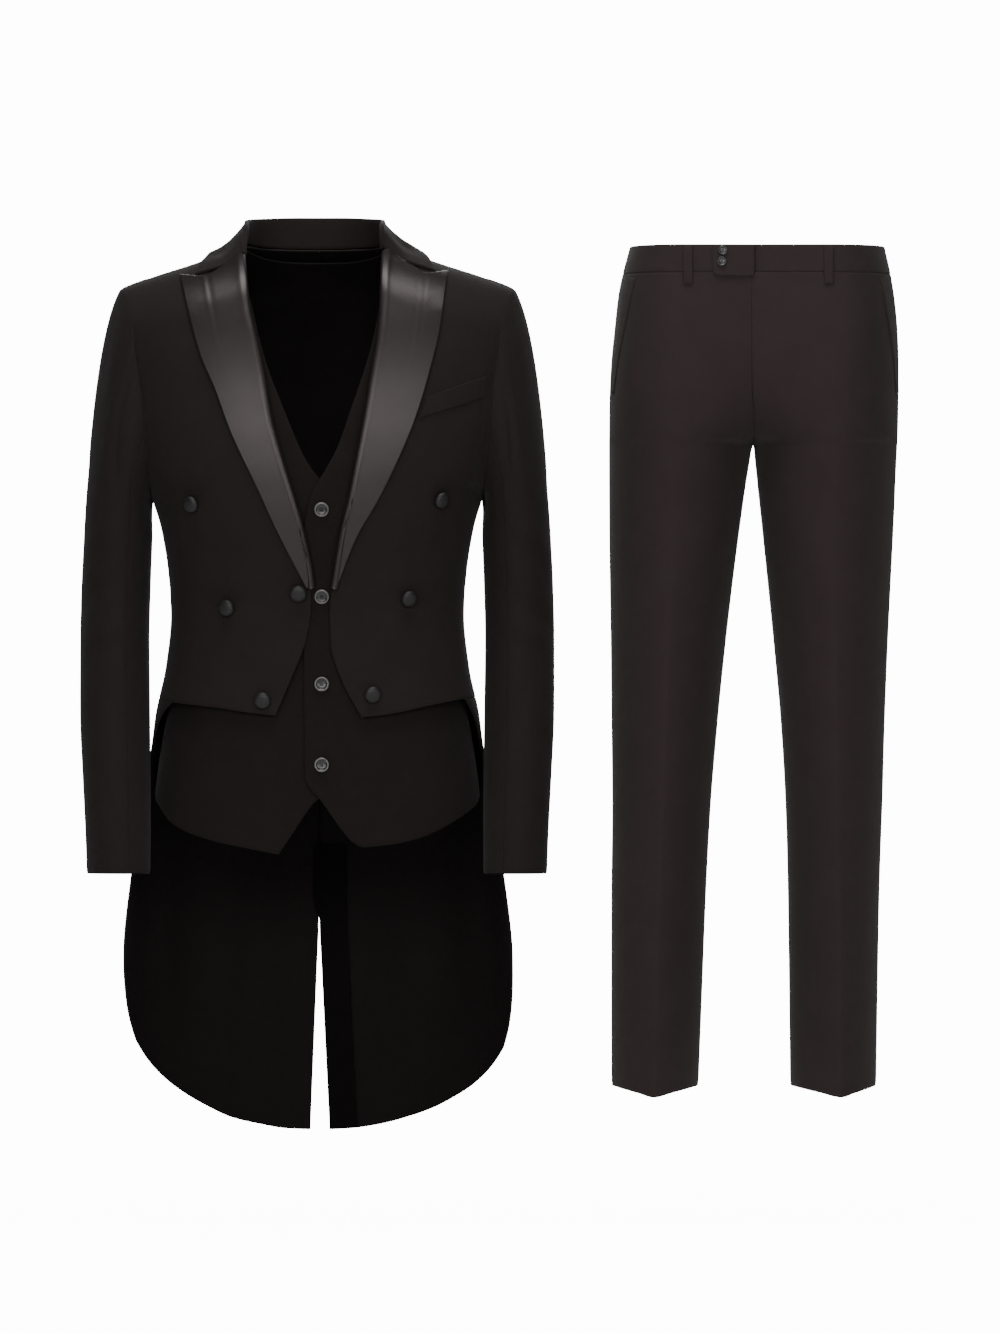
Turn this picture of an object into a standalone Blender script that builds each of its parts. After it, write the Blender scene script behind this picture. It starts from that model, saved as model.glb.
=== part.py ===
"""A three-piece tuxedo.

A coat with tails and a waistcoat, filled out as they are worn, stand beside a pair of
trousers. Every piece of cloth is a wall through points worked out from the tables
below. Lengths in the tables are millimetres: x goes to the wearer's left, y to the
back, z up from the neck. R and L are the wearer's sides.
"""

import math

import bmesh
import bpy
import numpy as np
from mathutils import Matrix, Vector

MM = 0.001
CLOTH = 2.0  # wall of the wool pieces
SEAM = 0.15  # each piece stops this far from its seam line
SQUARE = 2.4  # exponent of the body's rings
SIDE = math.radians(96)  # the side seam, round from the centre front
SHOULDER_Y = 10.0  # the shoulder seam's place front to back
SHOULDER_GAP = 0.35
SHOULDER_ROUND = 62.0  # the fall over which the cloth turns over the shoulder
TROUSERS_X = 505.2  # the trousers' crotch, beside the coat

# z, half width, depth in front, depth behind
COAT_RING = (
    (60, 110, 45, 50),
    (0, 200, 68, 74),
    (-60, 240, 96, 106),
    (-120, 238, 119, 122),
    (-180, 228, 133, 128),
    (-230, 219, 139, 128),
    (-268, 207, 140, 126),
    (-302, 191, 139, 123),
    (-336, 181, 136, 119),
    (-394, 172, 127, 112),
    (-433, 169.5, 122, 109),
    (-495, 176, 124, 112),
    (-549, 187.5, 128, 119),
    (-590, 193, 131, 125),
    (-626, 200.5, 132, 130),
    (-680, 208.5, 133, 134),
    (-733, 217.5, 134, 137),
    (-800, 227.5, 134, 139),
    (-850, 233, 134, 139),
    (-890, 235.5, 134, 138),
    (-1045, 238, 134, 134),
)
WAISTCOAT_RING = (
    (60, 102, 37, 42),
    (0, 188, 60, 62),
    (-60, 230, 88, 96),
    (-120, 228, 111, 114),
    (-180, 219, 125, 120),
    (-230, 208, 131, 120),
    (-268, 197, 132, 118),
    (-302, 180, 131, 115),
    (-336, 167, 128, 111),
    (-394, 157.5, 119, 104),
    (-433, 157, 114, 101),
    (-495, 162, 116, 104),
    (-549, 174, 119, 111),
    (-600, 183, 122, 116),
    (-650, 189, 125, 120),
    (-720, 193, 127, 122),
)
COAT, WAISTCOAT = (COAT_RING, 0.0), (WAISTCOAT_RING, 2.9)  # each with its distance under the shoulder
# distance from the middle, z of the shoulder line
SHOULDER = ((0, 22), (60, 8), (86, -6), (142, -26.5), (190, -42), (229, -57), (262, -68))

# z, x of the line that the lapel rolls on and of the front edge under it
FRONT_EDGE = {
    "R": (
        (-8, -84.5),
        (-34, -81.8),
        (-84, -76),
        (-118, -67.9),
        (-150, -60.9),
        (-208, -51),
        (-258, -37.7),
        (-311, -21.5),
        (-342, -13),
        (-406, -2.4),
        (-441, -5.2),
        (-472, -14.5),
        (-507, -28.4),
        (-551, -47),
    ),
    "L": (
        (-8, 76.5),
        (-34, 74.5),
        (-84, 73.2),
        (-118, 70),
        (-150, 64.4),
        (-208, 55),
        (-258, 45.8),
        (-304, 37),
        (-338, 28.5),
        (-406, 17.2),
        (-441, 12.2),
        (-472, 18),
        (-510, 29.6),
        (-553, 52.8),
    ),
}
# x, z along the cropped hem from the front corner to the tail
FRONT_HEM = {
    "R": ((-47, -551), (-70, -549), (-105, -543), (-140, -539), (-165, -536)),
    "L": ((52.8, -553), (87.6, -549), (127, -540), (150, -535.5), (171, -531.5)),
}
SIDE_WAIST, BACK_WAIST, WAIST_GAP = -530.0, -527.0, 0.6
# distance from the middle, z round the armhole from the shoulder down to the side seam
ARMHOLE_FRONT = (
    (228.5, -57),
    (220.5, -73),
    (212, -108),
    (206, -151),
    (199, -215),
    (196, -258),
    (192, -286),
)
ARMHOLE_BACK = (
    (228.5, -57),
    (222, -78),
    (214.5, -122),
    (208, -175),
    (202, -228),
    (195, -270),
    (190, -292),
)
ARMHOLE_BOTTOM = -302.0
NECK_SIDE, NECK_BACK_Z = 85.0, -9.0

# distance from the middle, z down the tail's outer edge: the first rows are round the side
TAIL_EDGE = {
    "R": (
        (64, -536),
        (74, -551),
        (81, -568),
        (87, -592),
        (95.5, -626),
        (98, -680),
        (98.2, -733),
        (98.8, -774),
        (100.5, -812),
        (105.5, -850),
        (111, -893),
        (118, -930.5),
    ),
    "L": (
        (68, -531.5),
        (75, -548),
        (81, -568),
        (87, -592),
        (95.5, -626),
        (98, -680),
        (98.2, -733),
        (98.8, -774),
        (100, -812),
        (104, -850),
        (108.5, -898),
        (115.8, -938.5),
    ),
}
# distance from the middle, z along the tail's rounded bottom, from the outer corner to the vent
TAIL_BOTTOM = {
    "R": (
        (210.5, -930.5),
        (193, -961.5),
        (163, -988.5),
        (133, -1007),
        (98, -1023),
        (66.7, -1030),
        (35.4, -1035),
        (11, -1036),
    ),
    "L": (
        (213.5, -938.5),
        (194, -970.5),
        (165.3, -993),
        (127, -1013),
        (87.6, -1025.5),
        (49.3, -1033.6),
        (13.3, -1037),
    ),
}
ROUND = np.array([200.0, 1.0])  # scales an angle to a length like those of z
ARM_STEPS = np.sin(np.linspace(0, math.pi / 2, 9)) * 0.4 + np.linspace(0, 1, 9) * 0.6
ROLL_BACK = 4.0  # the front's edge is set back this far under the lapel's roll
BACK_POWER = 1.25  # packs the columns toward the centre back, which the rings spread
VENT_TOP, VENT_FOOT = -788.0, -1036.0
VENT_OPEN = {"R": 10.0, "L": 12.3}
BAND_WIDTH = 33.0

# x, z along the lapel's outer edge from the tip of the peak to the closure
LAPEL_EDGE = {
    "R": (
        (-157.5, -43.5),
        (-150.5, -73),
        (-133, -136),
        (-116.6, -174),
        (-98, -224),
        (-66.7, -290),
        (-43.5, -340),
        (-10.5, -404),
    ),
    "L": (
        (151, -38.5),
        (148.5, -57),
        (143, -100),
        (128.5, -161),
        (113, -211),
        (93.4, -257.5),
        (70.2, -304),
        (46, -345.7),
        (23, -404),
    ),
}
# x, z along the lapel's upper edge from the roll line to the tip
LAPEL_TOP = {
    "R": ((-84.5, -20), (-97, -30), (-111, -38.5), (-128, -46), (-157.5, -43.5)),
    "L": ((75, -15), (90, -24.5), (109.6, -35.5), (123, -42.5), (151, -38.5)),
}
# the lapel's rise off the front: shift along the cloth, height over it
LAPEL_ROLL = ((1.4, -1.9), (-0.5, -0.7), (-1.2, 1.6), (0.6, 4.3), (5.0, 6.0))
LAPEL_LIFT, LAPEL_WALL = 3.9, 1.8

# the collar's front stations: the fold's distance from the middle and z, the fall's middle
# and its edge as distance and z, and the z of the stand's edge
COLLAR_FRONT = {
    "R": (
        (84.5, -16.5, (111, -35.6), (141, -43), -16.5),
        (84, 1, (110, -25), (139, -36), -12),
        (83, 13, (107, -16), (134, -29), -8),
    ),
    "L": (
        (76, -8.5, (106, -30.5), (136, -38.6), -10),
        (75.5, 4, (104, -23.5), (136, -33.5), -9),
        (75, 14, (101, -15), (132, -29), -7),
    ),
}
# and those behind: the fold, the fall's edge and the stand's edge, as distance, y and z,
# and how far the fall's middle swells
COLLAR_BACK = (
    ((82, 12, 23), (122, 14, -13), (84, 11, -3.4), -3.0),
    ((74, 40, 25.5), (101, 57, -19), (72, 40, -6), 1.5),
    ((53, 60, 27), (70, 80, -20), (50, 57.5, -7.6), 3.2),
    ((27, 70, 28), (35, 90, -21), (25, 65.5, -8.2), 3.2),
    ((0, 73, 28), (0, 93, -21), (0, 68, -8.4), 3.2),
)
NECK_LEAN = {"R": 1.0, "L": 0.93}  # the fold stands nearer to the neck on this side
COLLAR_WALL, COLLAR_ROUND = 2.0, 3.4

# z, middle of the sleeve across, middle front to back, half width, half depth
SLEEVE = (
    (-345, 230.9, -4, 39.9, 68),
    (-400, 233.2, -4, 40.2, 66),
    (-460, 234.6, -10, 40.2, 63.5),
    (-549, 234, -24, 40.6, 60),
    (-626, 231.8, -36, 39.3, 57.5),
    (-690, 230, -44, 37.8, 55),
    (-734, 229.4, -49, 36.8, 53),
)
SLEEVE_SEAMS = (math.radians(118), math.radians(252))  # front and back seam, round from the top
# pull of the sleeve's cap off the armhole at the top, front, underarm and back
CAP_START = ((82, 0, -142), (66, -34, -150), (6, 0, -42), (70, 34, -150))
CAP_END = ((12, 0, -250), (8, 0, -190), (0, 0, -60), (8, 0, -190))
CAP_RIM = np.array([0.1, 1, 1])  # the cap's wall starts square to the armhole, by this share of x
CUFF_SLOPE = 0.03  # the cuff's front is this much higher than its back, for each mm

BUTTONS = {
    "R": ((-142, -307, 0), (-101.5, -427, 0), (-60.9, -533, 1), (-20.3, -409.5, 0)),
    "L": ((142, -302, 0), (105, -415, 0), (64.4, -526, 1)),
}
# radius, height of a covered button on its shank
DOME = ((0, 0), (2.4, 0), (2.4, 2.6), (8.0, 2.9), (9.9, 4.8), (8.6, 7.6), (4.8, 9.2), (0, 9.6))
# radius, height of a waistcoat button with a raised rim
DISC = ((0, 0), (7.2, 0), (8.5, 1.2), (8.4, 2.9), (7.2, 3.4), (5.4, 2.3), (0, 2.0))
WELT = ((118.5, -209), (193, -184.5))  # the breast welt's lower corners
WELT_HIGH, WELT_WALL = 25.0, 1.6

# z, x down the waistcoat's V and front edge
WAISTCOAT_EDGE = {
    "R": (
        (-14, -90),
        (-45, -82),
        (-80, -74.5),
        (-139, -59.7),
        (-168, -49.3),
        (-212, -31.5),
        (-250, -15.5),
        (-284, 2.9),
        (-306, 13),
        (-420, 13),
        (-634, 13),
    ),
    "L": (
        (-14, 86),
        (-45, 79),
        (-80, 73),
        (-123, 64.4),
        (-184, 45),
        (-250, 21.5),
        (-284, 2.9),
        (-306, -13.5),
        (-420, -14.5),
        (-626, -12.6),
    ),
}
# x, z along the waistcoat's pointed hem from the front edge to the side seam
WAISTCOAT_HEM = {
    "R": (
        (13, -634),
        (-3, -652),
        (-24, -682),
        (-43.5, -711),
        (-66.7, -706.5),
        (-124.7, -694),
        (-166, -677),
        (-184, -655),
    ),
    "L": (
        (-12.6, -626),
        (2.9, -646),
        (22.6, -673),
        (41.2, -696),
        (52.8, -703),
        (87.6, -699.5),
        (119, -692.5),
        (145.6, -681),
        (166, -669),
        (184, -655),
    ),
}
WAISTCOAT_SIDE_Z, WAISTCOAT_BACK_Z = -640.0, -634.0
WAISTCOAT_ARM_FRONT = ((166, -46), (161, -90), (154, -150), (153, -210), (160, -268), (168, -312))
WAISTCOAT_ARM_BACK = ((166, -46), (163, -100), (160, -170), (161, -230), (166, -285), (169, -316))
WAISTCOAT_ARM_BOTTOM = -334.0
WAISTCOAT_NECK = (88.0, -24.0)  # the back neck's corner from the middle, and its depth
WAISTCOAT_LAP = 3.6  # how far the L front stands off the R front that it laps
WAISTCOAT_BUTTONS = ((6.4, -314), (6.4, -414), (6.4, -515), (6.4, -608))

# z, distance from the crotch line to the outseam, and to the inseam: less than nothing above the crotch
TROUSERS = {
    "R": (
        (-8, 143, -143),
        (-39, 151.2, -150),
        (-66, 156.6, -153),
        (-104, 160.8, -150),
        (-143, 164.6, -132),
        (-195, 166.8, -72),
        (-222, 167, -24),
        (-239, 167.2, 0.3),
        (-259, 167.2, 4.2),
        (-324, 167, 14),
        (-476, 165, 32.6),
        (-564, 164.2, 41.4),
        (-659, 163.4, 49.2),
        (-756, 164.4, 54.4),
        (-862, 164.5, 58.6),
        (-985, 164.3, 63.4),
    ),
    "L": (
        (-8, 152.5, -152.5),
        (-39, 159.5, -159),
        (-73, 164.8, -160),
        (-104, 167.6, -153),
        (-143, 168.9, -134),
        (-195, 168.6, -72),
        (-222, 168, -24),
        (-239, 167.2, 0.3),
        (-259, 166.2, 2.4),
        (-324, 163.4, 9.2),
        (-476, 156, 24.6),
        (-564, 152.6, 32.4),
        (-651, 150.2, 37.4),
        (-722, 147.6, 39.6),
        (-792, 145.8, 40.8),
        (-985, 142.8, 43),
    ),
}
# z, depth in front, depth behind, sharpness of the crease (2 is round), and the crease's
# distance from the crotch line on R and on L
CREASE = (
    (-8, 110, 112, 2.3, 78, 84),
    (-44, 114, 117, 2.3, 80, 86),
    (-120, 124, 138, 2.25, 84, 90),
    (-180, 127, 150, 2.1, 87, 91),
    (-239, 124, 146, 1.9, 90, 92),
    (-320, 117, 134, 1.65, 92, 92),
    (-476, 107, 114, 1.45, 100, 93),
    (-620, 101, 105, 1.35, 105, 95),
    (-760, 96, 100, 1.3, 110, 97),
    (-985, 89, 95, 1.26, 116, 100),
)
BAND_TOP, BAND_BOTTOM = -8.0, -40.0
HEM_SIDE, HEM_TIP, HEM_BACK = -980.0, -992.0, -983.0
FLY_LAP = 3.5  # the L front's edge passes the crotch line by this much
# name, leg, distance from the crotch line, 1 in front and -1 behind
LOOPS = (
    ("front_R", "R", 77, 1),
    ("front_L", "L", 85, 1),
    ("side_R", "R", 130, -1),
    ("side_L", "L", 138, -1),
    ("back", "L", 4.5, -1),
)
LOOP_WIDTH, LOOP_TOP, LOOP_BOTTOM = 10.0, -9.5, -54.0
LOOP_LIFT, LOOP_WALL = 2.5, 1.5
# the tab from its lower edge up: its rounded end and its start, as distance from the
# crotch line, and z
TAB = ((41, 0.4, -44.5), (46.5, 0.4, -42.5), (49, 0.4, -38), (49, 0.4, -23), (48, 0.4, -9.5))
TAB_LIFT, TAB_WALL = 2.9, 2.0
TAB_BUTTONS = ((37, -15.2), (38.2, -28))
TAB_BUTTON_SCALE = 0.64
POCKET_LIFT, POCKET_WALL = 2.0, 1.2
POCKET_TOP, POCKET_BOTTOM = -46.0, -178.0

MATERIALS = {
    "wool": ((0.012, 0.012, 0.012), 0.86),
    "satin": ((0.03, 0.028, 0.029), 0.36),
    "waistcoat_wool": ((0.013, 0.012, 0.011), 0.86),
    "trouser_wool": ((0.024, 0.020, 0.019), 0.88),
    "button": ((0.02, 0.019, 0.02), 0.32),
}


def smooth(x, y, at):
    """A curve through (x, y), which never overshoots, read at some places."""
    x, y = np.asarray(x, float), np.asarray(y, float)
    at = np.clip(np.asarray(at, float), x[0], x[-1])
    steps = np.diff(x)
    slopes = np.diff(y) / steps
    before, after = slopes[:-1], slopes[1:]
    turns = before * after <= 0
    total = np.where(turns, 1.0, before + after)
    pull = np.empty(len(x))
    pull[1:-1] = np.where(turns, 0.0, 2 * before * after / total)
    pull[0], pull[-1] = slopes[0], slopes[-1]
    i = np.clip(np.searchsorted(x, at, side="right") - 1, 0, len(steps) - 1)
    t = (at - x[i]) / steps[i]
    start, end = y[i] * (1 + 2 * t) * (1 - t) ** 2, y[i + 1] * (3 - 2 * t) * t**2
    return start + end + steps[i] * t * (1 - t) * (pull[i] * (1 - t) - pull[i + 1] * t)


def column(table, k, at):
    """A table's column k at some heights."""
    rows = np.array(sorted(table), float)
    return smooth(rows[:, 0], rows[:, k], at)


def along(points, fractions):
    """Points at fractions of the length of the curve through these points."""
    points = np.array(points, float)
    lengths = np.append(0, np.cumsum(np.linalg.norm(np.diff(points, axis=0), axis=1)))
    at = np.asarray(fractions) * lengths[-1]
    return np.stack([smooth(lengths, points[:, k], at) for k in range(points.shape[1])], axis=-1)


def body(form, angle, z, seam_y=SHOULDER_Y):
    """Points of the body, from the angle round from the centre front and the height."""
    ring, under = form
    wide, front, back = (column(ring, k, z) for k in (1, 2, 3))
    across, deep = np.sin(angle), np.cos(angle)
    x = wide * np.sign(across) * np.abs(across) ** (2 / SQUARE)
    y = np.where(deep > 0, -front, back) * np.abs(deep) ** (2 / SQUARE)
    fall = np.clip((column(SHOULDER, 1, np.abs(x)) - under - z) / SHOULDER_ROUND, 0, 1)
    y = seam_y + (y - seam_y) * np.sqrt(1 - (1 - fall) ** 2)
    return np.stack([x, y, z + 0 * x], axis=-1)


def angle_of(form, x, z, behind=False):
    """The angle round from the centre front of the point at x, z."""
    share = np.clip(np.abs(x) / column(form[0], 1, z), 0, 1)
    angle = np.arcsin(share ** (SQUARE / 2))
    return np.sign(x) * np.where(behind, math.pi - angle, angle)


def places(form, points, behind=False):
    """(angle, z) of points given as x, z."""
    points = np.array(points, float)
    return np.stack([angle_of(form, points[:, 0], points[:, 1], behind), points[:, 1]], axis=-1)


def facing(surface, a, b, step_a=0.004, step_b=0.4):
    """The outward normals of a surface of two parameters."""
    along_a = surface(a + step_a, b) - surface(a - step_a, b)
    along_b = surface(a, b + step_b) - surface(a, b - step_b)
    normal = np.cross(along_a, along_b)
    return normal / np.linalg.norm(normal, axis=-1, keepdims=True)


def patch(left, right, bottom, top, v, u):
    """A grid of places between four edges."""
    v, u = np.asarray(v)[:, None, None], np.asarray(u)[None, :, None]
    sides = left[:, None] * (1 - u) + right[:, None] * u
    ends = bottom[None] * (1 - v) + top[None] * v
    low = bottom[0] * (1 - u) + bottom[-1] * u
    high = top[0] * (1 - u) + top[-1] * u
    return sides + ends - low * (1 - v) - high * v


def grid_normals(points, closed=False):
    """Normals of a grid of points, rows by columns."""
    if closed:
        across = np.roll(points, -1, axis=1) - np.roll(points, 1, axis=1)
    else:
        across = np.gradient(points, axis=1)
    normal = np.cross(across, np.gradient(points, axis=0))
    return normal / np.maximum(np.linalg.norm(normal, axis=-1, keepdims=True), 1e-9)


def material(slot):
    found = bpy.data.materials.get(slot)
    if found:
        return found
    colour, roughness = MATERIALS[slot]
    made = bpy.data.materials.new(slot)
    made.use_nodes = True
    shader = made.node_tree.nodes["Principled BSDF"]
    shader.inputs["Base Color"].default_value = (*colour, 1)
    shader.inputs["Roughness"].default_value = roughness
    shader.inputs["Metallic"].default_value = 0
    return made


def place(bm, name, slot, matrix=None):
    """Makes an object of the shape, shaded smooth except over its sharp edges."""
    bmesh.ops.recalc_face_normals(bm, faces=bm.faces)
    mesh = bpy.data.meshes.new(name)
    bm.to_mesh(mesh)
    bm.free()
    mesh.materials.append(material(slot))
    mesh.shade_smooth()
    mesh.set_sharp_from_angle(angle=math.radians(50))
    made = bpy.data.objects.new(name, mesh)
    if matrix is not None:
        made.matrix_world = matrix
    bpy.context.scene.collection.objects.link(made)
    return made


def wall(name, slot, points, normals, thick=CLOTH, closed=False):
    """A wall of cloth: the outer points in rows, the inner ones set in from them, and rims."""
    rows, columns = points.shape[:2]
    both = np.concatenate([points.reshape(-1, 3), (points - normals * thick).reshape(-1, 3)])
    bm = bmesh.new()
    verts = [bm.verts.new(p) for p in both * MM]
    inner = rows * columns
    for r in range(rows - 1):
        for c in range(columns if closed else columns - 1):
            a, b = r * columns + c, r * columns + (c + 1) % columns
            outside = (a, b, b + columns, a + columns)
            inside = (a, a + columns, b + columns, b)
            bm.faces.new([verts[i] for i in outside])
            bm.faces.new([verts[inner + i] for i in inside])
    rims = [[r * columns + c for c in range(columns)] for r in (0, rows - 1)]
    if closed:
        rims = [rim + rim[:1] for rim in rims]
    else:
        rims += [[r * columns + c for r in range(rows)] for c in (0, columns - 1)]
    for rim in rims:
        for a, b in zip(rim, rim[1:]):
            bm.faces.new([verts[i] for i in (a, b, inner + b, inner + a)])
    return place(bm, name, slot)


def body_wall(name, slot, form, grid, seam_y, lift=0.0, thick=CLOTH):
    """A wall on the body at a grid of (angle, z), lifted off it where asked."""

    def surface(angle, z):
        return body(form, angle, z, seam_y)

    angle, z = grid[..., 0], grid[..., 1]
    normals = facing(surface, angle, z)
    return wall(name, slot, surface(angle, z) + normals * np.asarray(lift)[..., None], normals, thick)


def sign(side):
    return -1 if side == "R" else 1


def spread(start, end, count, power=1.0):
    return start + (end - start) * np.linspace(0, 1, count) ** power


def armhole(form, side, arm, bottom, behind):
    """(angle, z) round half an armhole, from the side seam up to the shoulder."""
    edge = sign(side) * (SIDE + (SEAM if behind else -SEAM) / 170)
    up = places(form, [(sign(side) * x, z) for x, z in arm[::-1]], behind)
    path = np.vstack([[edge, bottom], up])
    return along(path * ROUND, ARM_STEPS) / ROUND


def waist_z(side, angle):
    """The height of the hem and the waist seam, round from the front."""
    behind = [(sign(side) * SIDE, SIDE_WAIST), (sign(side) * math.pi, BACK_WAIST)]
    path = np.vstack([places(COAT, FRONT_HEM[side]), behind])
    return np.interp(np.abs(angle), np.abs(path[:, 0]), path[:, 1])


def shoulder(form, x, behind, neck=None):
    """(angle, z) along the shoulder, and where the back's neck is cut, down from it."""
    z = column(SHOULDER, 1, np.abs(x)) - form[1]
    if neck is not None:
        side_x, back_z = neck
        corner = column(SHOULDER, 1, side_x) - form[1]
        z = np.where(np.abs(x) < side_x, back_z + (corner - back_z) * (np.abs(x) / side_x) ** 3, z)
    return np.stack([angle_of(form, x, z, behind), z], axis=-1)


def panel(inner, hem, side_z, loop, top, rows, power=1.0):
    """(angle, z) of a front or a back: inner edge, hem, side seam with armhole, shoulder."""
    share = np.append(np.linspace(0, 0.46, rows), 0.46 + 0.54 * ARM_STEPS[1:])
    seam = np.stack([np.full(rows, loop[0, 0]), spread(side_z, loop[0, 1], rows)], axis=-1)
    outer = np.vstack([seam, loop[1:-1], top[-1]])
    edge = np.vstack([inner(share)[:-1], top[0]])
    return patch(edge, outer, hem, top, share, np.linspace(0, 1, len(top)) ** power)


def coat_front(side):
    s = sign(side)
    edge = FRONT_EDGE[side]
    low, high = edge[-1][0], column(SHOULDER, 1, abs(edge[0][1]))

    def inner(share):
        z = low + (high - low) * share
        back = ROLL_BACK * np.clip((z + 445) / 30, 0, 1)
        return np.stack([angle_of(COAT, column(edge, 1, z) + s * back, z), z], axis=-1)

    loop = armhole(COAT, side, ARMHOLE_FRONT, ARMHOLE_BOTTOM, False)
    angle = spread(inner(np.array([0.0]))[0, 0], loop[0, 0], 9)
    hem = np.stack([angle, waist_z(side, angle)], axis=-1)
    x = np.sign(s) * spread(abs(edge[0][1]) + ROLL_BACK, ARMHOLE_FRONT[0][0], 9)
    top = shoulder(COAT, x, False)
    return panel(inner, hem, SIDE_WAIST, loop, top, 7)


def coat_back(side):
    s = sign(side)

    def inner(share):
        z = BACK_WAIST + (NECK_BACK_Z - BACK_WAIST) * share
        return np.stack([angle_of(COAT, s * SEAM + 0 * z, z, True), z], axis=-1)

    loop = armhole(COAT, side, ARMHOLE_BACK, ARMHOLE_BOTTOM, True)
    start = inner(np.array([0.0]))[0, 0]
    angle = start + (loop[0, 0] - start) * np.linspace(0, 1, 9) ** BACK_POWER
    hem = np.stack([angle, waist_z(side, angle)], axis=-1)
    x = s * np.array([SEAM, 22, 44, 65, NECK_SIDE, 114, 150, 188, 228.5])
    top = shoulder(COAT, x, True, (NECK_SIDE, NECK_BACK_Z))
    return panel(inner, hem, SIDE_WAIST, loop, top, 7, BACK_POWER)


def tail(side):
    """(angle, z) of a tail: vent edge, outer edge, waist seam, rounded bottom."""
    s = sign(side)
    v, u = np.linspace(0, 1, 14), np.linspace(0, 1, 9) ** BACK_POWER
    z = spread(BACK_WAIST - WAIST_GAP, VENT_FOOT, 14)
    opened = VENT_OPEN[side] * np.clip((VENT_TOP - z) / (VENT_TOP - VENT_FOOT), 0, 1)
    vent = np.stack([angle_of(COAT, s * (SEAM + opened), z, True), z], axis=-1)
    edge = along([(s * math.radians(a), z) for a, z in TAIL_EDGE[side]] * ROUND, v) / ROUND
    edge[:, 1] -= WAIST_GAP * (1 - v)
    bottom = places(COAT, [(s * x, z) for x, z in TAIL_BOTTOM[side][::-1]], True)
    bottom[0], bottom[-1] = vent[-1], edge[-1]
    bottom = along(bottom * ROUND, u) / ROUND
    angle = vent[0, 0] + (edge[0, 0] - vent[0, 0]) * u
    top = np.stack([angle, waist_z(side, angle) - WAIST_GAP], axis=-1)
    edge[0] = top[-1]
    return patch(vent, edge, top, bottom, v, u)


def vent_band():
    z = spread(-704, VENT_FOOT + 3, 12)
    opened = VENT_OPEN["L"] * np.clip((VENT_TOP - z) / (VENT_TOP - VENT_FOOT), 0, 1)
    start = np.where(z > VENT_TOP, -6.0, SEAM + 0.8 + opened)
    x = start[:, None] + (BAND_WIDTH + opened - start)[:, None] * np.linspace(0, 1, 4)
    z = z[:, None] + 0 * x
    return np.stack([math.pi - np.sign(x) * angle_of(COAT, np.abs(x), z), z], axis=-1)


def on_front(form, x, z, lift, seam_y=SHOULDER_Y, behind=False):
    """Points at x, z lifted off the body, and the way it faces there."""

    def surface(x, z):
        return body(form, angle_of(form, x, z, behind), z, seam_y)

    x, z = np.asarray(x, float), np.asarray(z, float)
    normal = facing(surface, x, z, 0.4, 0.4) * (-1 if behind else 1)
    return surface(x, z) + normal * (np.asarray(lift, float) + 0 * x)[..., None], normal


def on_facets(made, x, z, lift):
    """A place on a piece already made, at x, z, lifted off its facets, and the way they face."""
    hit, at, normal, _ = made.ray_cast(Vector((x, -1000, z)) * MM, Vector((0, 1, 0)))
    return np.array(at) / MM + np.array(normal) * lift, np.array(normal)


def lapel(side):
    """The outer points of a lapel: a roll at the front's edge, then a leaf over the chest."""
    s = sign(side)
    v, u = np.linspace(0, 1, 13), np.linspace(0, 1, 6)
    top = along(LAPEL_TOP[side], u)
    z = spread(top[0, 1], -404, 13, 1.2)
    roll = np.stack([column(FRONT_EDGE[side], 1, z), z], axis=-1)
    edge = along(LAPEL_EDGE[side], v**1.2)
    foot = roll[-1] + (edge[-1] - roll[-1]) * u[:, None]
    top[0], top[-1] = roll[0], edge[0]
    flat = patch(roll, edge, top, foot, v, u)
    down = np.gradient(roll, axis=0)
    out = np.stack([-down[:, 1], down[:, 0]], axis=-1) * s
    out /= np.linalg.norm(out, axis=1, keepdims=True)
    wide = np.linalg.norm(edge - roll, axis=1)
    near = np.clip(wide / 60, 0.25, 1)
    leaf = []
    for shift, height in LAPEL_ROLL:
        at = roll + out * shift
        leaf.append(on_front(COAT, at[:, 0], at[:, 1], height)[0])
    for k in range(1, 6):
        x = flat[:, k, 0] + s * 5 * (1 - k / 5) * near
        lift = LAPEL_LIFT + 2.2 * np.exp(-k / 5 * wide / 26)
        leaf.append(on_front(COAT, x, flat[:, k, 1], lift)[0])
    return np.stack(leaf, axis=1)


def collar_stations(side):
    """Stations of half a collar: stand's edge, fold, middle of the fall, fall's edge."""
    s = sign(side)
    stations = []
    for fold_x, fold_z, middle, edge, stand_z in COLLAR_FRONT[side]:
        stand = on_front(COAT, s * (fold_x - 1.0), stand_z, -0.6)[0]
        below = on_front(COAT, s * fold_x, min(fold_z, stand_z), 0)[0]
        fold = np.array([s * fold_x, below[1] - 4.5, fold_z])
        middle = on_front(COAT, s * middle[0], middle[1], 5.2)[0]
        edge = on_front(COAT, s * edge[0], edge[1], 3.4)[0]
        stations.append((stand, fold, middle, edge))
    for fold, edge, stand, swell in COLLAR_BACK:
        fold, edge, stand = (np.array(p, float) * [s, 1, 1] for p in (fold, edge, stand))
        fold[0] *= NECK_LEAN[side]
        out = (edge - fold) * [1, 1, 0]
        middle = (fold + edge) / 2 + (out / np.linalg.norm(out) + [0, 0, 0.5]) * swell
        stations.append((stand, fold, middle, edge))
    return stations


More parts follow.
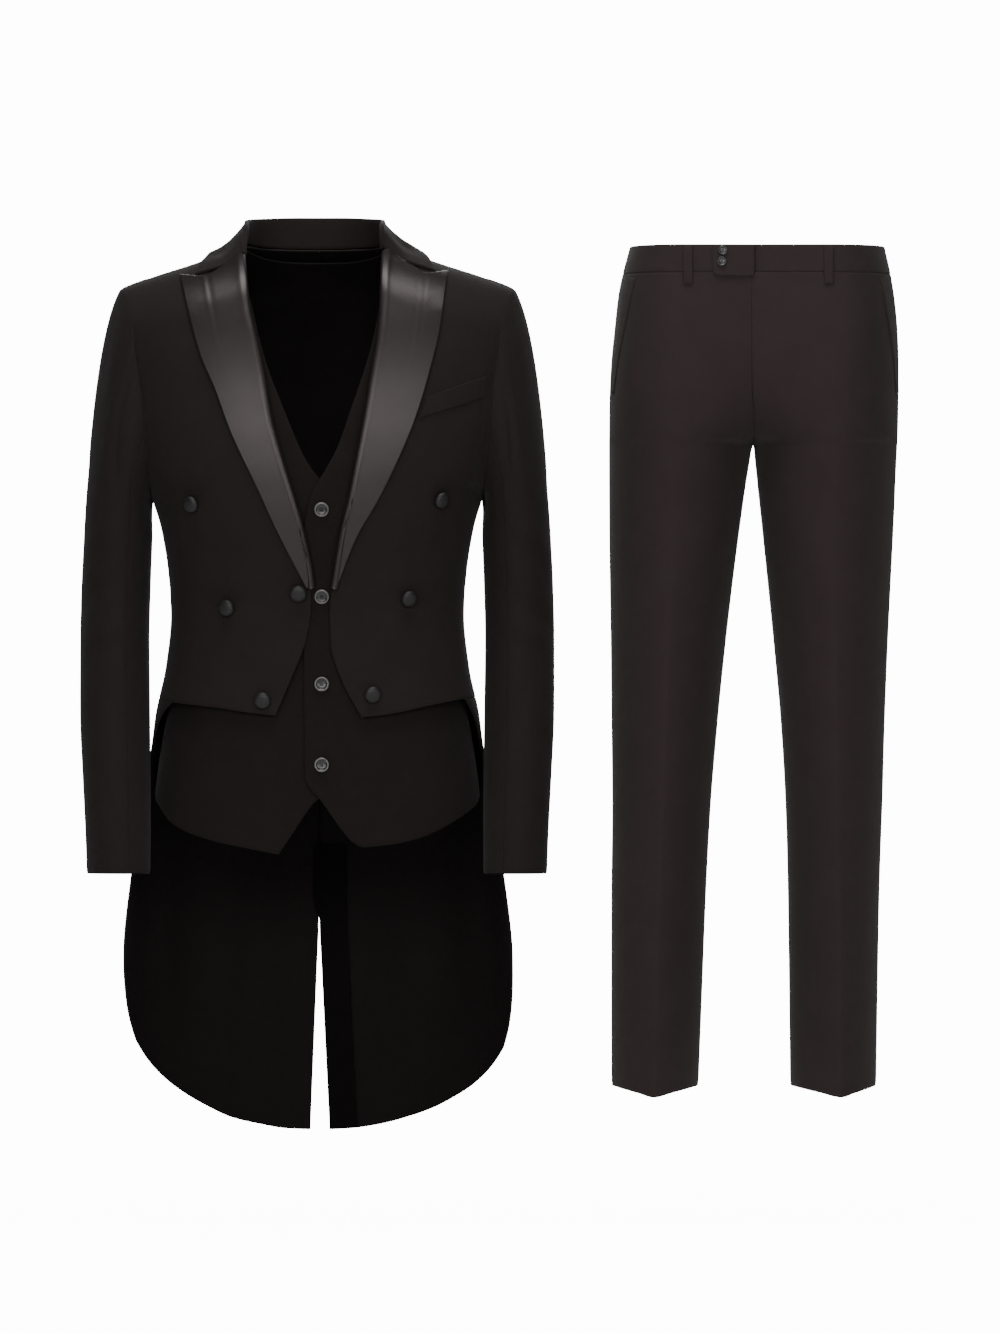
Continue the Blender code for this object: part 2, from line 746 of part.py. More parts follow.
def collar():
    """The outer points of the collar, from the stand's lower edge over the fold to the fall's edge."""
    stations = collar_stations("R") + collar_stations("L")[-2::-1]
    share = np.linspace(0, 1, 21)
    stand, fold, middle, edge = (along([row[k] for row in stations], share) for k in range(4))
    rows = []
    for g, f, m, e in zip(stand, fold, middle, edge):
        out = (m - f) * [1, 1, 0]
        out *= COLLAR_ROUND / np.linalg.norm(out)
        down = np.array([0, 0, COLLAR_ROUND])
        near, far = f - out - down, f + out - down
        rows.append([g, near, f - out * 0.6, f + out * 0.6, far, m, (m + e) / 2, e])
    return np.array(rows)


def sleeve(side):
    """A whole sleeve as closed rings: the cap from the armhole, then down to the cuff."""
    s = sign(side)
    front = armhole(COAT, "L", ARMHOLE_FRONT, ARMHOLE_BOTTOM, False)[::-1]
    back = armhole(COAT, "L", ARMHOLE_BACK, ARMHOLE_BOTTOM, True)[1:-1]
    loop = np.vstack([front, back])
    loop = body(COAT, loop[:, 0], loop[:, 1])
    down = spread(0, math.pi, len(ARM_STEPS))
    around = np.append(down, math.pi + down[1:-1])
    z, across, deep, half, depth = SLEEVE[0]
    ring = [across + np.cos(around) * half, deep - np.sin(around) * depth, z + 0 * around]
    ring = np.stack(ring, axis=-1)

    def blended(four):
        four = np.array(four, float)
        turn = around / (math.pi / 2)
        k = turn.astype(int) % 4
        t = 0.5 - 0.5 * np.cos((turn - turn.astype(int)) * math.pi)
        return four[k] * (1 - t)[:, None] + four[(k + 1) % 4] * t[:, None]

    start, end = blended(CAP_START), blended(CAP_END)
    away = start / np.linalg.norm(start, axis=1, keepdims=True)
    loop = loop + away * 0.35 + [0.5, 0, 0]
    rings = []
    for t in (0, 0.08, 0.2, 0.36, 0.56, 0.8, 1):
        a, b = (1 + 2 * t) * (1 - t) ** 2, t * (1 - t) ** 2
        c, d = t * t * (3 - 2 * t), t * t * (t - 1)
        rings.append(a * loop + b * start + c * ring + d * end)
    for z in (-405, -465, -530, -600, -670, -734):
        across, deep, half, depth = (column(SLEEVE, k, z) for k in (1, 2, 3, 4))
        y = -np.sin(around) * depth
        slope = CUFF_SLOPE * y * np.clip((-z - 600) / 134, 0, 1)
        rings.append(np.stack([across + np.cos(around) * half, deep + y, z - slope + 0 * y], axis=-1))
    points = np.array(rings) * [s, 1, 1]
    normals = grid_normals(points, closed=True) * s
    rim = normals[0] * CAP_RIM
    normals[0] = rim / np.linalg.norm(rim, axis=1, keepdims=True)
    return points, normals, around


def sleeve_walls(side):
    points, normals, around = sleeve(side)
    count = len(around)
    first = int(np.argmin(np.abs(around - SLEEVE_SEAMS[0])))
    last = int(np.argmin(np.abs(around - SLEEVE_SEAMS[1])))
    over = [c % count for c in range(last, last + count - (last - first) + 1)]
    under = list(range(first, last + 1))
    for name, picks in (("sleeve_top", over), ("sleeve_under", under)):
        part, lean = points[:, picks].copy(), normals[:, picks]
        for c, n in ((0, 1), (-1, -2)):
            step = part[:, n] - part[:, c]
            part[:, c] += step / np.linalg.norm(step, axis=1, keepdims=True) * (SEAM + 0.05)
        wall(f"{name}_{side}", "wool", part, lean)


def waistcoat_front(side):
    s = sign(side)
    edge = WAISTCOAT_EDGE[side]
    low, high = edge[-1][0], column(SHOULDER, 1, abs(edge[0][1])) - WAISTCOAT[1]

    def inner(share):
        z = low + (high - low) * share
        return np.stack([angle_of(WAISTCOAT, column(edge, 1, z), z), z], axis=-1)

    loop = armhole(WAISTCOAT, side, WAISTCOAT_ARM_FRONT, WAISTCOAT_ARM_BOTTOM, False)
    hem = np.vstack([places(WAISTCOAT, WAISTCOAT_HEM[side]), [loop[0, 0], WAISTCOAT_SIDE_Z]])
    hem[0] = inner(np.array([0.0]))[0]
    u = np.linspace(0, 1, 12)
    top = shoulder(WAISTCOAT, spread(edge[0][1], s * WAISTCOAT_ARM_FRONT[0][0], 12), False)
    return panel(inner, along(hem * ROUND, u) / ROUND, WAISTCOAT_SIDE_Z, loop, top, 7)


def waistcoat_back():
    """(angle, z) of the whole waistcoat back, from the L side seam to the R one."""

    def inner(share):
        z = WAISTCOAT_BACK_Z + (WAISTCOAT_NECK[1] - WAISTCOAT_BACK_Z) * share
        return np.stack([0 * z + math.pi, z], axis=-1)

    loop = armhole(WAISTCOAT, "L", WAISTCOAT_ARM_BACK, WAISTCOAT_ARM_BOTTOM, True)
    angle = math.pi + (loop[0, 0] - math.pi) * np.linspace(0, 1, 8) ** BACK_POWER
    hem = np.stack([angle, np.linspace(WAISTCOAT_BACK_Z, WAISTCOAT_SIDE_Z, 8)], axis=-1)
    x = np.array([0.01, 30, 60, WAISTCOAT_NECK[0], 106, 125, 145, WAISTCOAT_ARM_BACK[0][0]])
    top = shoulder(WAISTCOAT, x, True, WAISTCOAT_NECK)
    half = panel(inner, hem, WAISTCOAT_SIDE_Z, loop, top, 6, BACK_POWER)
    half[:, 0, 0] = math.pi
    other = half[:, 1:] * [-1, 1] + [2 * math.pi, 0]
    return np.concatenate([half[:, ::-1], other], axis=1)


def leg(side, w, z, behind):
    """Points of a trouser leg: w is -1 at the inseam, 0 on the crease and 1 at the outseam."""
    s = sign(side)
    outer, inner = column(TROUSERS[side], 1, z), column(TROUSERS[side], 2, z)
    crease = column(CREASE, 4 if side == "R" else 5, z)
    depth = column(CREASE, 2 if behind else 1, z)
    sharp = column(CREASE, 3, z)
    share = np.clip(np.sin(np.abs(w) * math.pi / 2), 0, 1)
    x = crease + np.where(w > 0, (outer - crease) * share, (inner - crease) * share)
    y = depth * np.sqrt(np.clip(1 - share**sharp, 0, 1)) * (1 if behind else -1)
    return np.stack([TROUSERS_X + s * x, y, z + 0 * x], axis=-1)


def inner_w(side, z, lap=0.0):
    """The w where a leg meets the crotch line, or its inseam below the crotch."""
    inner = column(TROUSERS[side], 2, z)
    crease = column(CREASE, 4 if side == "R" else 5, z)
    share = np.clip((crease - lap) / np.maximum(crease - inner, 1e-6), 0, 1)
    return -np.arcsin(share) / (math.pi / 2)


def leg_points(side, behind, w, z, lift=0.0):
    """Points and normals on a leg at a grid of w and z, with what side seams need."""
    s = sign(side)
    e, ez = 0.01, 0.4
    ahead, back = np.clip(w + e, -1, 1), np.clip(w - e, -1, 1)
    along_w = leg(side, ahead, z, behind) - leg(side, back, z, behind)
    along_z = leg(side, w, z + ez, behind) - leg(side, w, z - ez, behind)
    normal = np.cross(along_w, along_z) * s * (-1 if behind else 1)
    normal /= np.linalg.norm(normal, axis=-1, keepdims=True)
    points = leg(side, w, z, behind)
    points[..., 1] += SEAM if behind else -SEAM
    return points + normal * np.asarray(lift)[..., None], normal


def trouser_rows():
    hips = [BAND_BOTTOM - WAIST_GAP, -76, -118, -158, -190, -213, -230, -240]
    return np.array(hips + [-254, -282, -335, -420, -540, -690, -840, HEM_SIDE])


def trouser_panel(side, behind):
    z = trouser_rows()
    if behind:
        lap = np.full(len(z), SEAM)
    else:
        fly = FLY_LAP * np.clip((z + 215) / 40, 0, 1)
        lap = np.where(z > -239, fly + SEAM if side == "R" else SEAM - fly, SEAM)
    start = inner_w(side, z, lap)
    inward = start[:, None] * np.linspace(1, 0, 5)[:-1] ** 0.9
    w = np.concatenate([inward, np.linspace(0, 1, 5) + 0 * z[:, None]], axis=1)
    tip = HEM_BACK if behind else HEM_TIP
    drop = (tip - HEM_SIDE) * (1 - np.sin(np.abs(w) * math.pi / 2))
    low = np.clip((z + 690) / (HEM_SIDE + 690), 0, 1)[:, None] ** 2
    heights = z[:, None] + drop * low
    lift = 0.0
    if not behind and side == "L":
        from_lap = leg(side, w, heights, behind)[..., 0] - TROUSERS_X + FLY_LAP
        near = np.clip(1 - np.abs(from_lap) / 14, 0, 1)
        lift = 1.1 * near * np.clip((heights + 215) / 40, 0, 1)
    points, normal = leg_points(side, behind, w, heights, lift)
    return points, normal


def hip_loop(z, count):
    """w and panel of each point once round the waist, from the front over R, the back and L."""
    spots = []
    for side, behind, way in (("R", False, 1), ("R", True, -1), ("L", True, 1), ("L", False, -1)):
        edge = float(inner_w(side, z))
        w = np.linspace(edge, 1, count)[::way]
        spots += [(side, behind, t) for t in w[:-1]]
    return spots


def waistband():
    heights = (BAND_BOTTOM, (BAND_BOTTOM + BAND_TOP) / 2, BAND_TOP)
    points, normals = [], []
    for z in heights:
        row = [leg_points(*spot[:2], np.array([spot[2]]), np.array([z])) for spot in hip_loop(z, 8)]
        points.append([place[0] for place, normal in row])
        normals.append([normal[0] for place, normal in row])
    return np.array(points), np.array(normals)


def on_leg(side, behind, x, z, lift):
    """Points and normals at distances x from the crotch line."""
    outer, inner = column(TROUSERS[side], 1, z), column(TROUSERS[side], 2, z)
    crease = column(CREASE, 4 if side == "R" else 5, z)
    over = x > crease
    share = np.where(over, (x - crease) / (outer - crease), (crease - x) / (crease - inner))
    w = np.arcsin(np.clip(share, 0, 1)) / (math.pi / 2) * np.where(over, 1, -1)
    return leg_points(side, behind, w, z, lift)


def strip(name, side, behind, edges, lift, thick, columns):
    """A strip on a leg: for each of its rows, the two ends' distance from the crotch line, and z."""
    edges = np.array(edges, float)
    u = np.linspace(0, 1, columns)
    x = edges[:, :1] * (1 - u) + edges[:, 1:2] * u
    points, normal = on_leg(side, behind, x, edges[:, 2:] + 0 * x, lift)
    return wall(name, "trouser_wool", points, normal, thick)


def turned(name, slot, profile, at, axis, steps):
    """A round piece, spun from its profile and set on the cloth along an axis."""
    bm = bmesh.new()
    verts = [bm.verts.new((r * MM, 0, z * MM)) for r, z in profile]
    edges = [bm.edges.new(pair) for pair in zip(verts, verts[1:])]
    whole = {"cent": (0, 0, 0), "axis": (0, 0, 1), "angle": 2 * math.pi, "use_merge": True}
    bmesh.ops.spin(bm, geom=verts + edges, steps=steps, **whole)
    bmesh.ops.remove_doubles(bm, verts=bm.verts, dist=1e-5)
    turn = Vector(axis).to_track_quat("Z", "Y").to_matrix().to_4x4()
    return place(bm, name, slot, Matrix.Translation(Vector(at) * MM) @ turn)


def build_coat():
    for side in "RL":
        s = sign(side)
        front = body_wall(f"coat_front_{side}", "wool", COAT, coat_front(side), SHOULDER_Y - SHOULDER_GAP)
        body_wall(f"coat_back_{side}", "wool", COAT, coat_back(side), SHOULDER_Y + SHOULDER_GAP)
        body_wall(f"coat_tail_{side}", "wool", COAT, tail(side), SHOULDER_Y)
        points = lapel(side)
        wall(f"lapel_{side}", "satin", points, grid_normals(points) * -s, LAPEL_WALL)
        sleeve_walls(side)
        for i, (x, z, tilt) in enumerate(BUTTONS[side]):
            at, normal = on_facets(front, x, z, 0.7)
            turned(f"coat_button_{side}{i + 1}", "satin", DOME, at, normal - [0, 0, 0.12 + 0.2 * tilt], 12)
    body_wall("vent_band", "wool", COAT, vent_band(), SHOULDER_Y, lift=-2.8, thick=1.4)
    points = collar()
    wall("collar", "wool", points, -grid_normals(points), COLLAR_WALL)
    (x0, z0), (x1, z1) = WELT
    u, v = np.meshgrid(np.linspace(0, 1, 6), np.linspace(0, 1, 3))
    x, z = x0 + (x1 - x0) * u + (9.0 - 6.0 * u) * v, z0 + (z1 - z0) * u + WELT_HIGH * v
    grid = np.stack([angle_of(COAT, x, z), z], axis=-1)
    body_wall("breast_welt", "wool", COAT, grid, SHOULDER_Y, lift=2.4, thick=WELT_WALL)


def build_waistcoat():
    wool = "waistcoat_wool"
    for side in "RL":
        grid = waistcoat_front(side)
        lift = 0.0
        if side == "L":
            x = body(WAISTCOAT, grid[..., 0], grid[..., 1])[..., 0]
            below = np.clip((-236 - grid[..., 1]) / 30, 0, 1)
            lift = WAISTCOAT_LAP * np.clip((66 - x) / 40, 0, 1) * below
        name, seam_y = f"waistcoat_front_{side}", SHOULDER_Y - SHOULDER_GAP
        front = body_wall(name, wool, WAISTCOAT, grid, seam_y, lift)
    body_wall("waistcoat_back", wool, WAISTCOAT, waistcoat_back(), SHOULDER_Y + SHOULDER_GAP)
    for i, (x, z) in enumerate(WAISTCOAT_BUTTONS):
        at, normal = on_facets(front, x, z, 0.9)
        turned(f"waistcoat_button_{i + 1}", "button", DISC, at, normal, 14)


def build_trousers():
    for side in "RL":
        for behind, name in ((False, "front"), (True, "back")):
            points, normals = trouser_panel(side, behind)
            wall(f"trouser_{name}_{side}", "trouser_wool", points, normals)
        rows = spread(POCKET_BOTTOM, POCKET_TOP, 7)
        seam = column(TROUSERS[side], 1, rows)
        slant = np.linspace(0, 1, 7)
        edges = np.stack([seam - 5 - 12 * slant, seam - 1.5 - 8 * slant, rows], axis=-1)
        strip(f"pocket_edge_{side}", side, False, edges, POCKET_LIFT, POCKET_WALL, 3)
    points, normals = waistband()
    wall("waistband", "trouser_wool", points, normals, closed=True)
    for name, side, x, way in LOOPS:
        edges = [(x - LOOP_WIDTH / 2, x + LOOP_WIDTH / 2, z) for z in spread(LOOP_BOTTOM, LOOP_TOP, 5)]
        strip(f"belt_loop_{name}", side, way < 0, edges, LOOP_LIFT, LOOP_WALL, 3)
    tab = strip("waistband_tab", "R", False, TAB, TAB_LIFT, TAB_WALL, 7)
    for i, (x, z) in enumerate(TAB_BUTTONS):
        at, normal = on_facets(tab, TROUSERS_X - x, z, 0.4)
        small = [(r * TAB_BUTTON_SCALE, h * TAB_BUTTON_SCALE) for r, h in DISC]
        turned(f"tab_button_{i + 1}", "button", small, at, normal, 12)


def main():
    for old in list(bpy.data.objects):
        bpy.data.objects.remove(old)
    build_coat()
    build_waistcoat()
    build_trousers()


main()
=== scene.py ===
# %% [markdown]
# # A three-piece tuxedo
#
# The suit is a coat with tails and satin lapels, a waistcoat with a pointed hem, and trousers with
# pressed creases. The coat and waistcoat stand as if worn, and the trousers hang beside them. Each
# piece of cloth is cut and sewn from flat wool, so each one here is a thin sheet with its own edges.
# The sheets follow rings and curves worked out from a tailor's sizes, and the seams are where two
# sheets stop a hair's breadth from each other. The first step loads the fixed frame.

# %% Load the frame
import math

import bmesh
import bpy
import numpy as np
from mathutils import Matrix, Vector


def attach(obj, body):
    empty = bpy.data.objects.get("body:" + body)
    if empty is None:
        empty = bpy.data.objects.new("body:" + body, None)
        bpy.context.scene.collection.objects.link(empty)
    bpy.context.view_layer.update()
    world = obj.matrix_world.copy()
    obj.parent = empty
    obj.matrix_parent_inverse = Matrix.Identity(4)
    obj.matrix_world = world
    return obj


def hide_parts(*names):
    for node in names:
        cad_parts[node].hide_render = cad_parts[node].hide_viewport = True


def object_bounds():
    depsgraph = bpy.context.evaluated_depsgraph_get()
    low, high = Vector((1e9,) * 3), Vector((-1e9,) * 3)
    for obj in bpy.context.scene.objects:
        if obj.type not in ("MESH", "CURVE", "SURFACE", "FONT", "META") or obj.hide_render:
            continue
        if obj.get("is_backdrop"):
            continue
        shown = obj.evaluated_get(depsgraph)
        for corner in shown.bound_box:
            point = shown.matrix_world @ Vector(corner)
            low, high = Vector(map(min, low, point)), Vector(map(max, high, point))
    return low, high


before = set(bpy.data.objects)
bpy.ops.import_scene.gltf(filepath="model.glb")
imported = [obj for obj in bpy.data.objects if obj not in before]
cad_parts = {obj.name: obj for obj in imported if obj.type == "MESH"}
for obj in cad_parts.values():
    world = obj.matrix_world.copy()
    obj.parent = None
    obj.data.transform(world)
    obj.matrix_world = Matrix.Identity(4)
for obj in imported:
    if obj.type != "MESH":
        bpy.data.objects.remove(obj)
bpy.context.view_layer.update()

# %% [markdown]
# Lengths are in millimetres while a piece is worked out, and turn into metres when its mesh is
# made. x goes to the wearer's left, y to the back, and z up from the neck. A table holds a few
# measured places, and a smooth curve that never overshoots joins them.

# %% Curves and grids
MM = 0.001


def smooth(x, y, at):
    """A curve through (x, y), which never overshoots, read at some places."""
    x, y = np.asarray(x, float), np.asarray(y, float)
    at = np.clip(np.asarray(at, float), x[0], x[-1])
    steps = np.diff(x)
    slopes = np.diff(y) / steps
    before, after = slopes[:-1], slopes[1:]
    turns = before * after <= 0
    total = np.where(turns, 1.0, before + after)
    pull = np.empty(len(x))
    pull[1:-1] = np.where(turns, 0.0, 2 * before * after / total)
    pull[0], pull[-1] = slopes[0], slopes[-1]
    i = np.clip(np.searchsorted(x, at, side="right") - 1, 0, len(steps) - 1)
    t = (at - x[i]) / steps[i]
    start, end = y[i] * (1 + 2 * t) * (1 - t) ** 2, y[i + 1] * (3 - 2 * t) * t**2
    return start + end + steps[i] * t * (1 - t) * (pull[i] * (1 - t) - pull[i + 1] * t)


def column(table, k, at):
    """A table's column k at some heights."""
    rows = np.array(sorted(table), float)
    return smooth(rows[:, 0], rows[:, k], at)


def along(points, fractions):
    """Points at fractions of the length of the curve through these points."""
    points = np.array(points, float)
    lengths = np.append(0, np.cumsum(np.linalg.norm(np.diff(points, axis=0), axis=1)))
    at = np.asarray(fractions) * lengths[-1]
    return np.stack([smooth(lengths, points[:, k], at) for k in range(points.shape[1])], axis=-1)


def facing(surface, a, b, step_a=0.004, step_b=0.4):
    """The outward normals of a surface of two parameters."""
    along_a = surface(a + step_a, b) - surface(a - step_a, b)
    along_b = surface(a, b + step_b) - surface(a, b - step_b)
    normal = np.cross(along_a, along_b)
    return normal / np.linalg.norm(normal, axis=-1, keepdims=True)


def patch(left, right, bottom, top, v, u):
    """A grid of places between four edges."""
    v, u = np.asarray(v)[:, None, None], np.asarray(u)[None, :, None]
    sides = left[:, None] * (1 - u) + right[:, None] * u
    ends = bottom[None] * (1 - v) + top[None] * v
    low = bottom[0] * (1 - u) + bottom[-1] * u
    high = top[0] * (1 - u) + top[-1] * u
    return sides + ends - low * (1 - v) - high * v


def grid_normals(points, closed=False):
    """Normals of a grid of points, rows by columns."""
    if closed:
        across = np.roll(points, -1, axis=1) - np.roll(points, 1, axis=1)
    else:
        across = np.gradient(points, axis=1)
    normal = np.cross(across, np.gradient(points, axis=0))
    return normal / np.maximum(np.linalg.norm(normal, axis=-1, keepdims=True), 1e-9)


def sign(side):
    return -1 if side == "R" else 1


def spread(start, end, count, power=1.0):
    return start + (end - start) * np.linspace(0, 1, count) ** power


def steps(count, parts):
    """Places between the columns of a coarse grid, with two more close to each edge."""
    inner = np.arange(1, (count - 1) * parts) / parts
    last = count - 1
    return np.concatenate([[0, 0.03, 0.08], inner, [last - 0.08, last - 0.03, last]])


def drawn_through(x, values, at, corner):
    """A smooth curve through (x, values), with a sharp turn at one of them."""
    if corner is None:
        return smooth(x, values, at)
    first = smooth(x[: corner + 1], values[: corner + 1], at[at <= x[corner]])
    return np.append(first, smooth(x[corner:], values[corner:], at[at > x[corner]]))


def fine(grid, down, across, corner=None):
    """More rows and columns on smooth curves through a coarse grid."""
    rows, columns, depth = grid.shape
    at_row, at_column = steps(rows, down), steps(columns, across)
    x = np.arange(columns)
    kinds, lines = range(depth), range(len(at_column))
    wide = [[drawn_through(x, row[:, k], at_column, corner) for row in grid] for k in kinds]
    wide = np.stack(wide, axis=-1)
    tall = [[smooth(range(rows), wide[:, c, k], at_row) for c in lines] for k in kinds]
    return np.moveaxis(np.array(tall), (0, 1, 2), (2, 1, 0))


print("curves ready:", smooth([0, 1, 2], [0, 5, 6], [0.5, 1.5]))

# %% [markdown]
# ## The body under the coat
#
# A tailor starts from the body's girths. Here each ring has a half width, a depth in front and a
# depth behind, and its outline is a rounded rectangle. Near the shoulder the cloth turns over the
# top, so the rings draw in toward the shoulder seam. The waistcoat is the same body, a little smaller.

# %% Rings of the coat and the waistcoat
SQUARE = 2.4  # exponent of the body's rings
SIDE = math.radians(96)  # the side seam, round from the centre front
SHOULDER_Y = 10.0  # the shoulder seam's place front to back
SHOULDER_GAP = 0.35
SHOULDER_ROUND = 62.0  # the fall over which the cloth turns over the shoulder
SEAM = 0.15  # each piece stops this far from its seam line
# z, half width, depth in front, depth behind
COAT_RING = (
    (60, 110, 45, 50),
    (0, 200, 68, 74),
    (-60, 240, 96, 106),
    (-120, 238, 119, 122),
    (-180, 228, 133, 128),
    (-230, 219, 139, 128),
    (-268, 207, 140, 126),
    (-302, 191, 139, 123),
    (-336, 181, 136, 119),
    (-394, 172, 127, 112),
    (-433, 169.5, 122, 109),
    (-495, 176, 124, 112),
    (-549, 187.5, 128, 119),
    (-590, 193, 131, 125),
    (-626, 200.5, 132, 130),
    (-680, 208.5, 133, 134),
    (-733, 217.5, 134, 137),
    (-800, 227.5, 134, 139),
    (-850, 233, 134, 139),
    (-890, 235.5, 134, 138),
    (-1045, 238, 134, 134),
)
WAISTCOAT_RING = (
    (60, 102, 37, 42),
    (0, 188, 60, 62),
    (-60, 230, 88, 96),
    (-120, 228, 111, 114),
    (-180, 219, 125, 120),
    (-230, 208, 131, 120),
    (-268, 197, 132, 118),
    (-302, 180, 131, 115),
    (-336, 167, 128, 111),
    (-394, 157.5, 119, 104),
    (-433, 157, 114, 101),
    (-495, 162, 116, 104),
    (-549, 174, 119, 111),
    (-600, 183, 122, 116),
    (-650, 189, 125, 120),
    (-720, 193, 127, 122),
)
COAT, WAISTCOAT = (COAT_RING, 0.0), (WAISTCOAT_RING, 2.9)  # each with its distance under the shoulder
# distance from the middle, z of the shoulder line
SHOULDER = ((0, 22), (60, 8), (86, -6), (142, -26.5), (190, -42), (229, -57), (262, -68))


def body(form, angle, z, seam_y=SHOULDER_Y):
    """Points of the body, from the angle round from the centre front and the height."""
    ring, under = form
    wide, front, back = (column(ring, k, z) for k in (1, 2, 3))
    across, deep = np.sin(angle), np.cos(angle)
    x = wide * np.sign(across) * np.abs(across) ** (2 / SQUARE)
    y = np.where(deep > 0, -front, back) * np.abs(deep) ** (2 / SQUARE)
    fall = np.clip((column(SHOULDER, 1, np.abs(x)) - under - z) / SHOULDER_ROUND, 0, 1)
    y = seam_y + (y - seam_y) * np.sqrt(1 - (1 - fall) ** 2)
    return np.stack([x, y, z + 0 * x], axis=-1)


def angle_of(form, x, z, behind=False):
    """The angle round from the centre front of the point at x, z."""
    share = np.clip(np.abs(x) / column(form[0], 1, z), 0, 1)
    angle = np.arcsin(share ** (SQUARE / 2))
    return np.sign(x) * np.where(behind, math.pi - angle, angle)


def places(form, points, behind=False):
    """(angle, z) of points given as x, z."""
    points = np.array(points, float)
    return np.stack([angle_of(form, points[:, 0], points[:, 1], behind), points[:, 1]], axis=-1)


print("chest, half width:", column(COAT_RING, 1, -230))

# %% [markdown]
# ## Wool, satin and lining
#
# Dress wool is a fine twill: threads pass over two and under two, one step further each row, and
# this draws diagonal lines about half a millimetre apart. Satin floats its threads on one side, so
# it shines. One node group draws the threads on the piece's own flat coordinates, which are metres
# of cloth, so the weave keeps its real size and bends with the sheet.

# %% The weave, shared by every cloth
def socket(tree, name, kind, way, value=None):
    made = tree.interface.new_socket(name=name, in_out=way, socket_type=kind)
    if value is not None:
        made.default_value = value


def link(tree, source, target):
    tree.links.new(source, target)


def math_node(tree, how, first, second=None):
    made = tree.nodes.new("ShaderNodeMath")
    made.operation = how
    for i, value in enumerate((first, second)):
        if value is None:
            continue
        if isinstance(value, (int, float)):
            made.inputs[i].default_value = value
        else:
            link(tree, value, made.inputs[i])
    return made.outputs[0]


def thread_group():
    """Twill threads and loose fibres: a height for the bump and a mottling for the colour."""
    tree = bpy.data.node_groups.new("woven_threads", "ShaderNodeTree")
    socket(tree, "Vector", "NodeSocketVector", "INPUT")
    socket(tree, "Threads per metre", "NodeSocketFloat", "INPUT", 2200.0)
    socket(tree, "Slant", "NodeSocketFloat", "INPUT", 1.0)
    socket(tree, "Height", "NodeSocketFloat", "OUTPUT")
    socket(tree, "Mottle", "NodeSocketFloat", "OUTPUT")
    given = tree.nodes.new("NodeGroupInput")
    out = tree.nodes.new("NodeGroupOutput")
    parts = tree.nodes.new("ShaderNodeSeparateXYZ")
    link(tree, given.outputs["Vector"], parts.inputs[0])
    turns = math_node(tree, "MULTIPLY", given.outputs["Threads per metre"], math.pi)
    slant = math_node(tree, "MULTIPLY", parts.outputs["Y"], given.outputs["Slant"])
    across = math_node(tree, "MULTIPLY", math_node(tree, "ADD", parts.outputs["X"], slant), turns)
    ribs = math_node(tree, "SINE", across)
    down = math_node(tree, "MULTIPLY", parts.outputs["Y"], turns)
    weft = math_node(tree, "SINE", math_node(tree, "MULTIPLY", down, 2.0))
    threads = math_node(tree, "ADD", ribs, math_node(tree, "MULTIPLY", weft, 0.35))
    fibres = tree.nodes.new("ShaderNodeTexNoise")
    fibres.inputs["Scale"].default_value = 2600
    fibres.inputs["Detail"].default_value = 3
    link(tree, given.outputs["Vector"], fibres.inputs["Vector"])
    height = math_node(tree, "ADD", threads, math_node(tree, "MULTIPLY", fibres.outputs["Fac"], 1.6))
    link(tree, height, out.inputs["Height"])
    broad = tree.nodes.new("ShaderNodeTexNoise")
    broad.inputs["Scale"].default_value = 22
    broad.inputs["Detail"].default_value = 5
    broad.inputs["Roughness"].default_value = 0.6
    link(tree, given.outputs["Vector"], broad.inputs["Vector"])
    link(tree, broad.outputs["Fac"], out.inputs["Mottle"])
    return tree


THREADS = thread_group()
print("group:", THREADS.name, [item.name for item in THREADS.interface.items_tree])

# %% [markdown]
# Each cloth sets its own dark and light colour, its roughness and the size of its threads. Sheen
# stands for the soft nap of wool, which catches light at grazing angles. Black dye has a trace of
# red in its shine. The numbers that are the same all over are set on the shader itself.

# %% One material per cloth
RED_SHINE = (1, 0.9, 0.91, 1)
# name: dark colour, light colour, roughness, sheen, threads per metre, bump in mm, specular
CLOTHS = {
    "wool": ((0.0105, 0.0079, 0.0073), (0.0140, 0.0110, 0.0103), 0.82, 0.04, 2200, 0.05, 0.16),
    "waistcoat_wool": ((0.0070, 0.0052, 0.0048), (0.0098, 0.0076, 0.0071), 0.82, 0.04, 2200, 0.05, 0.14),
    "trouser_wool": ((0.0212, 0.0148, 0.0144), (0.0276, 0.0198, 0.0193), 0.84, 0.06, 2000, 0.06, 0.18),
    # lining: a real dark lining, coloured darker still as painted shade for the inside of the coat
    "lining": ((0.0036, 0.0025, 0.0025), (0.0056, 0.0040, 0.0040), 0.70, 0.02, 3600, 0.02, 0.10),
    # facing: the vent band's cloth, coloured darkest, partly as painted shade in the vent behind the
    # tails
    "facing": ((0.0013, 0.0008, 0.0009), (0.0021, 0.0014, 0.0015), 0.74, 0.02, 3600, 0.02, 0.07),
    "satin": ((0.0090, 0.0058, 0.0061), (0.0123, 0.0081, 0.0085), 0.38, 0.0, 3800, 0.015, 0.54),
}


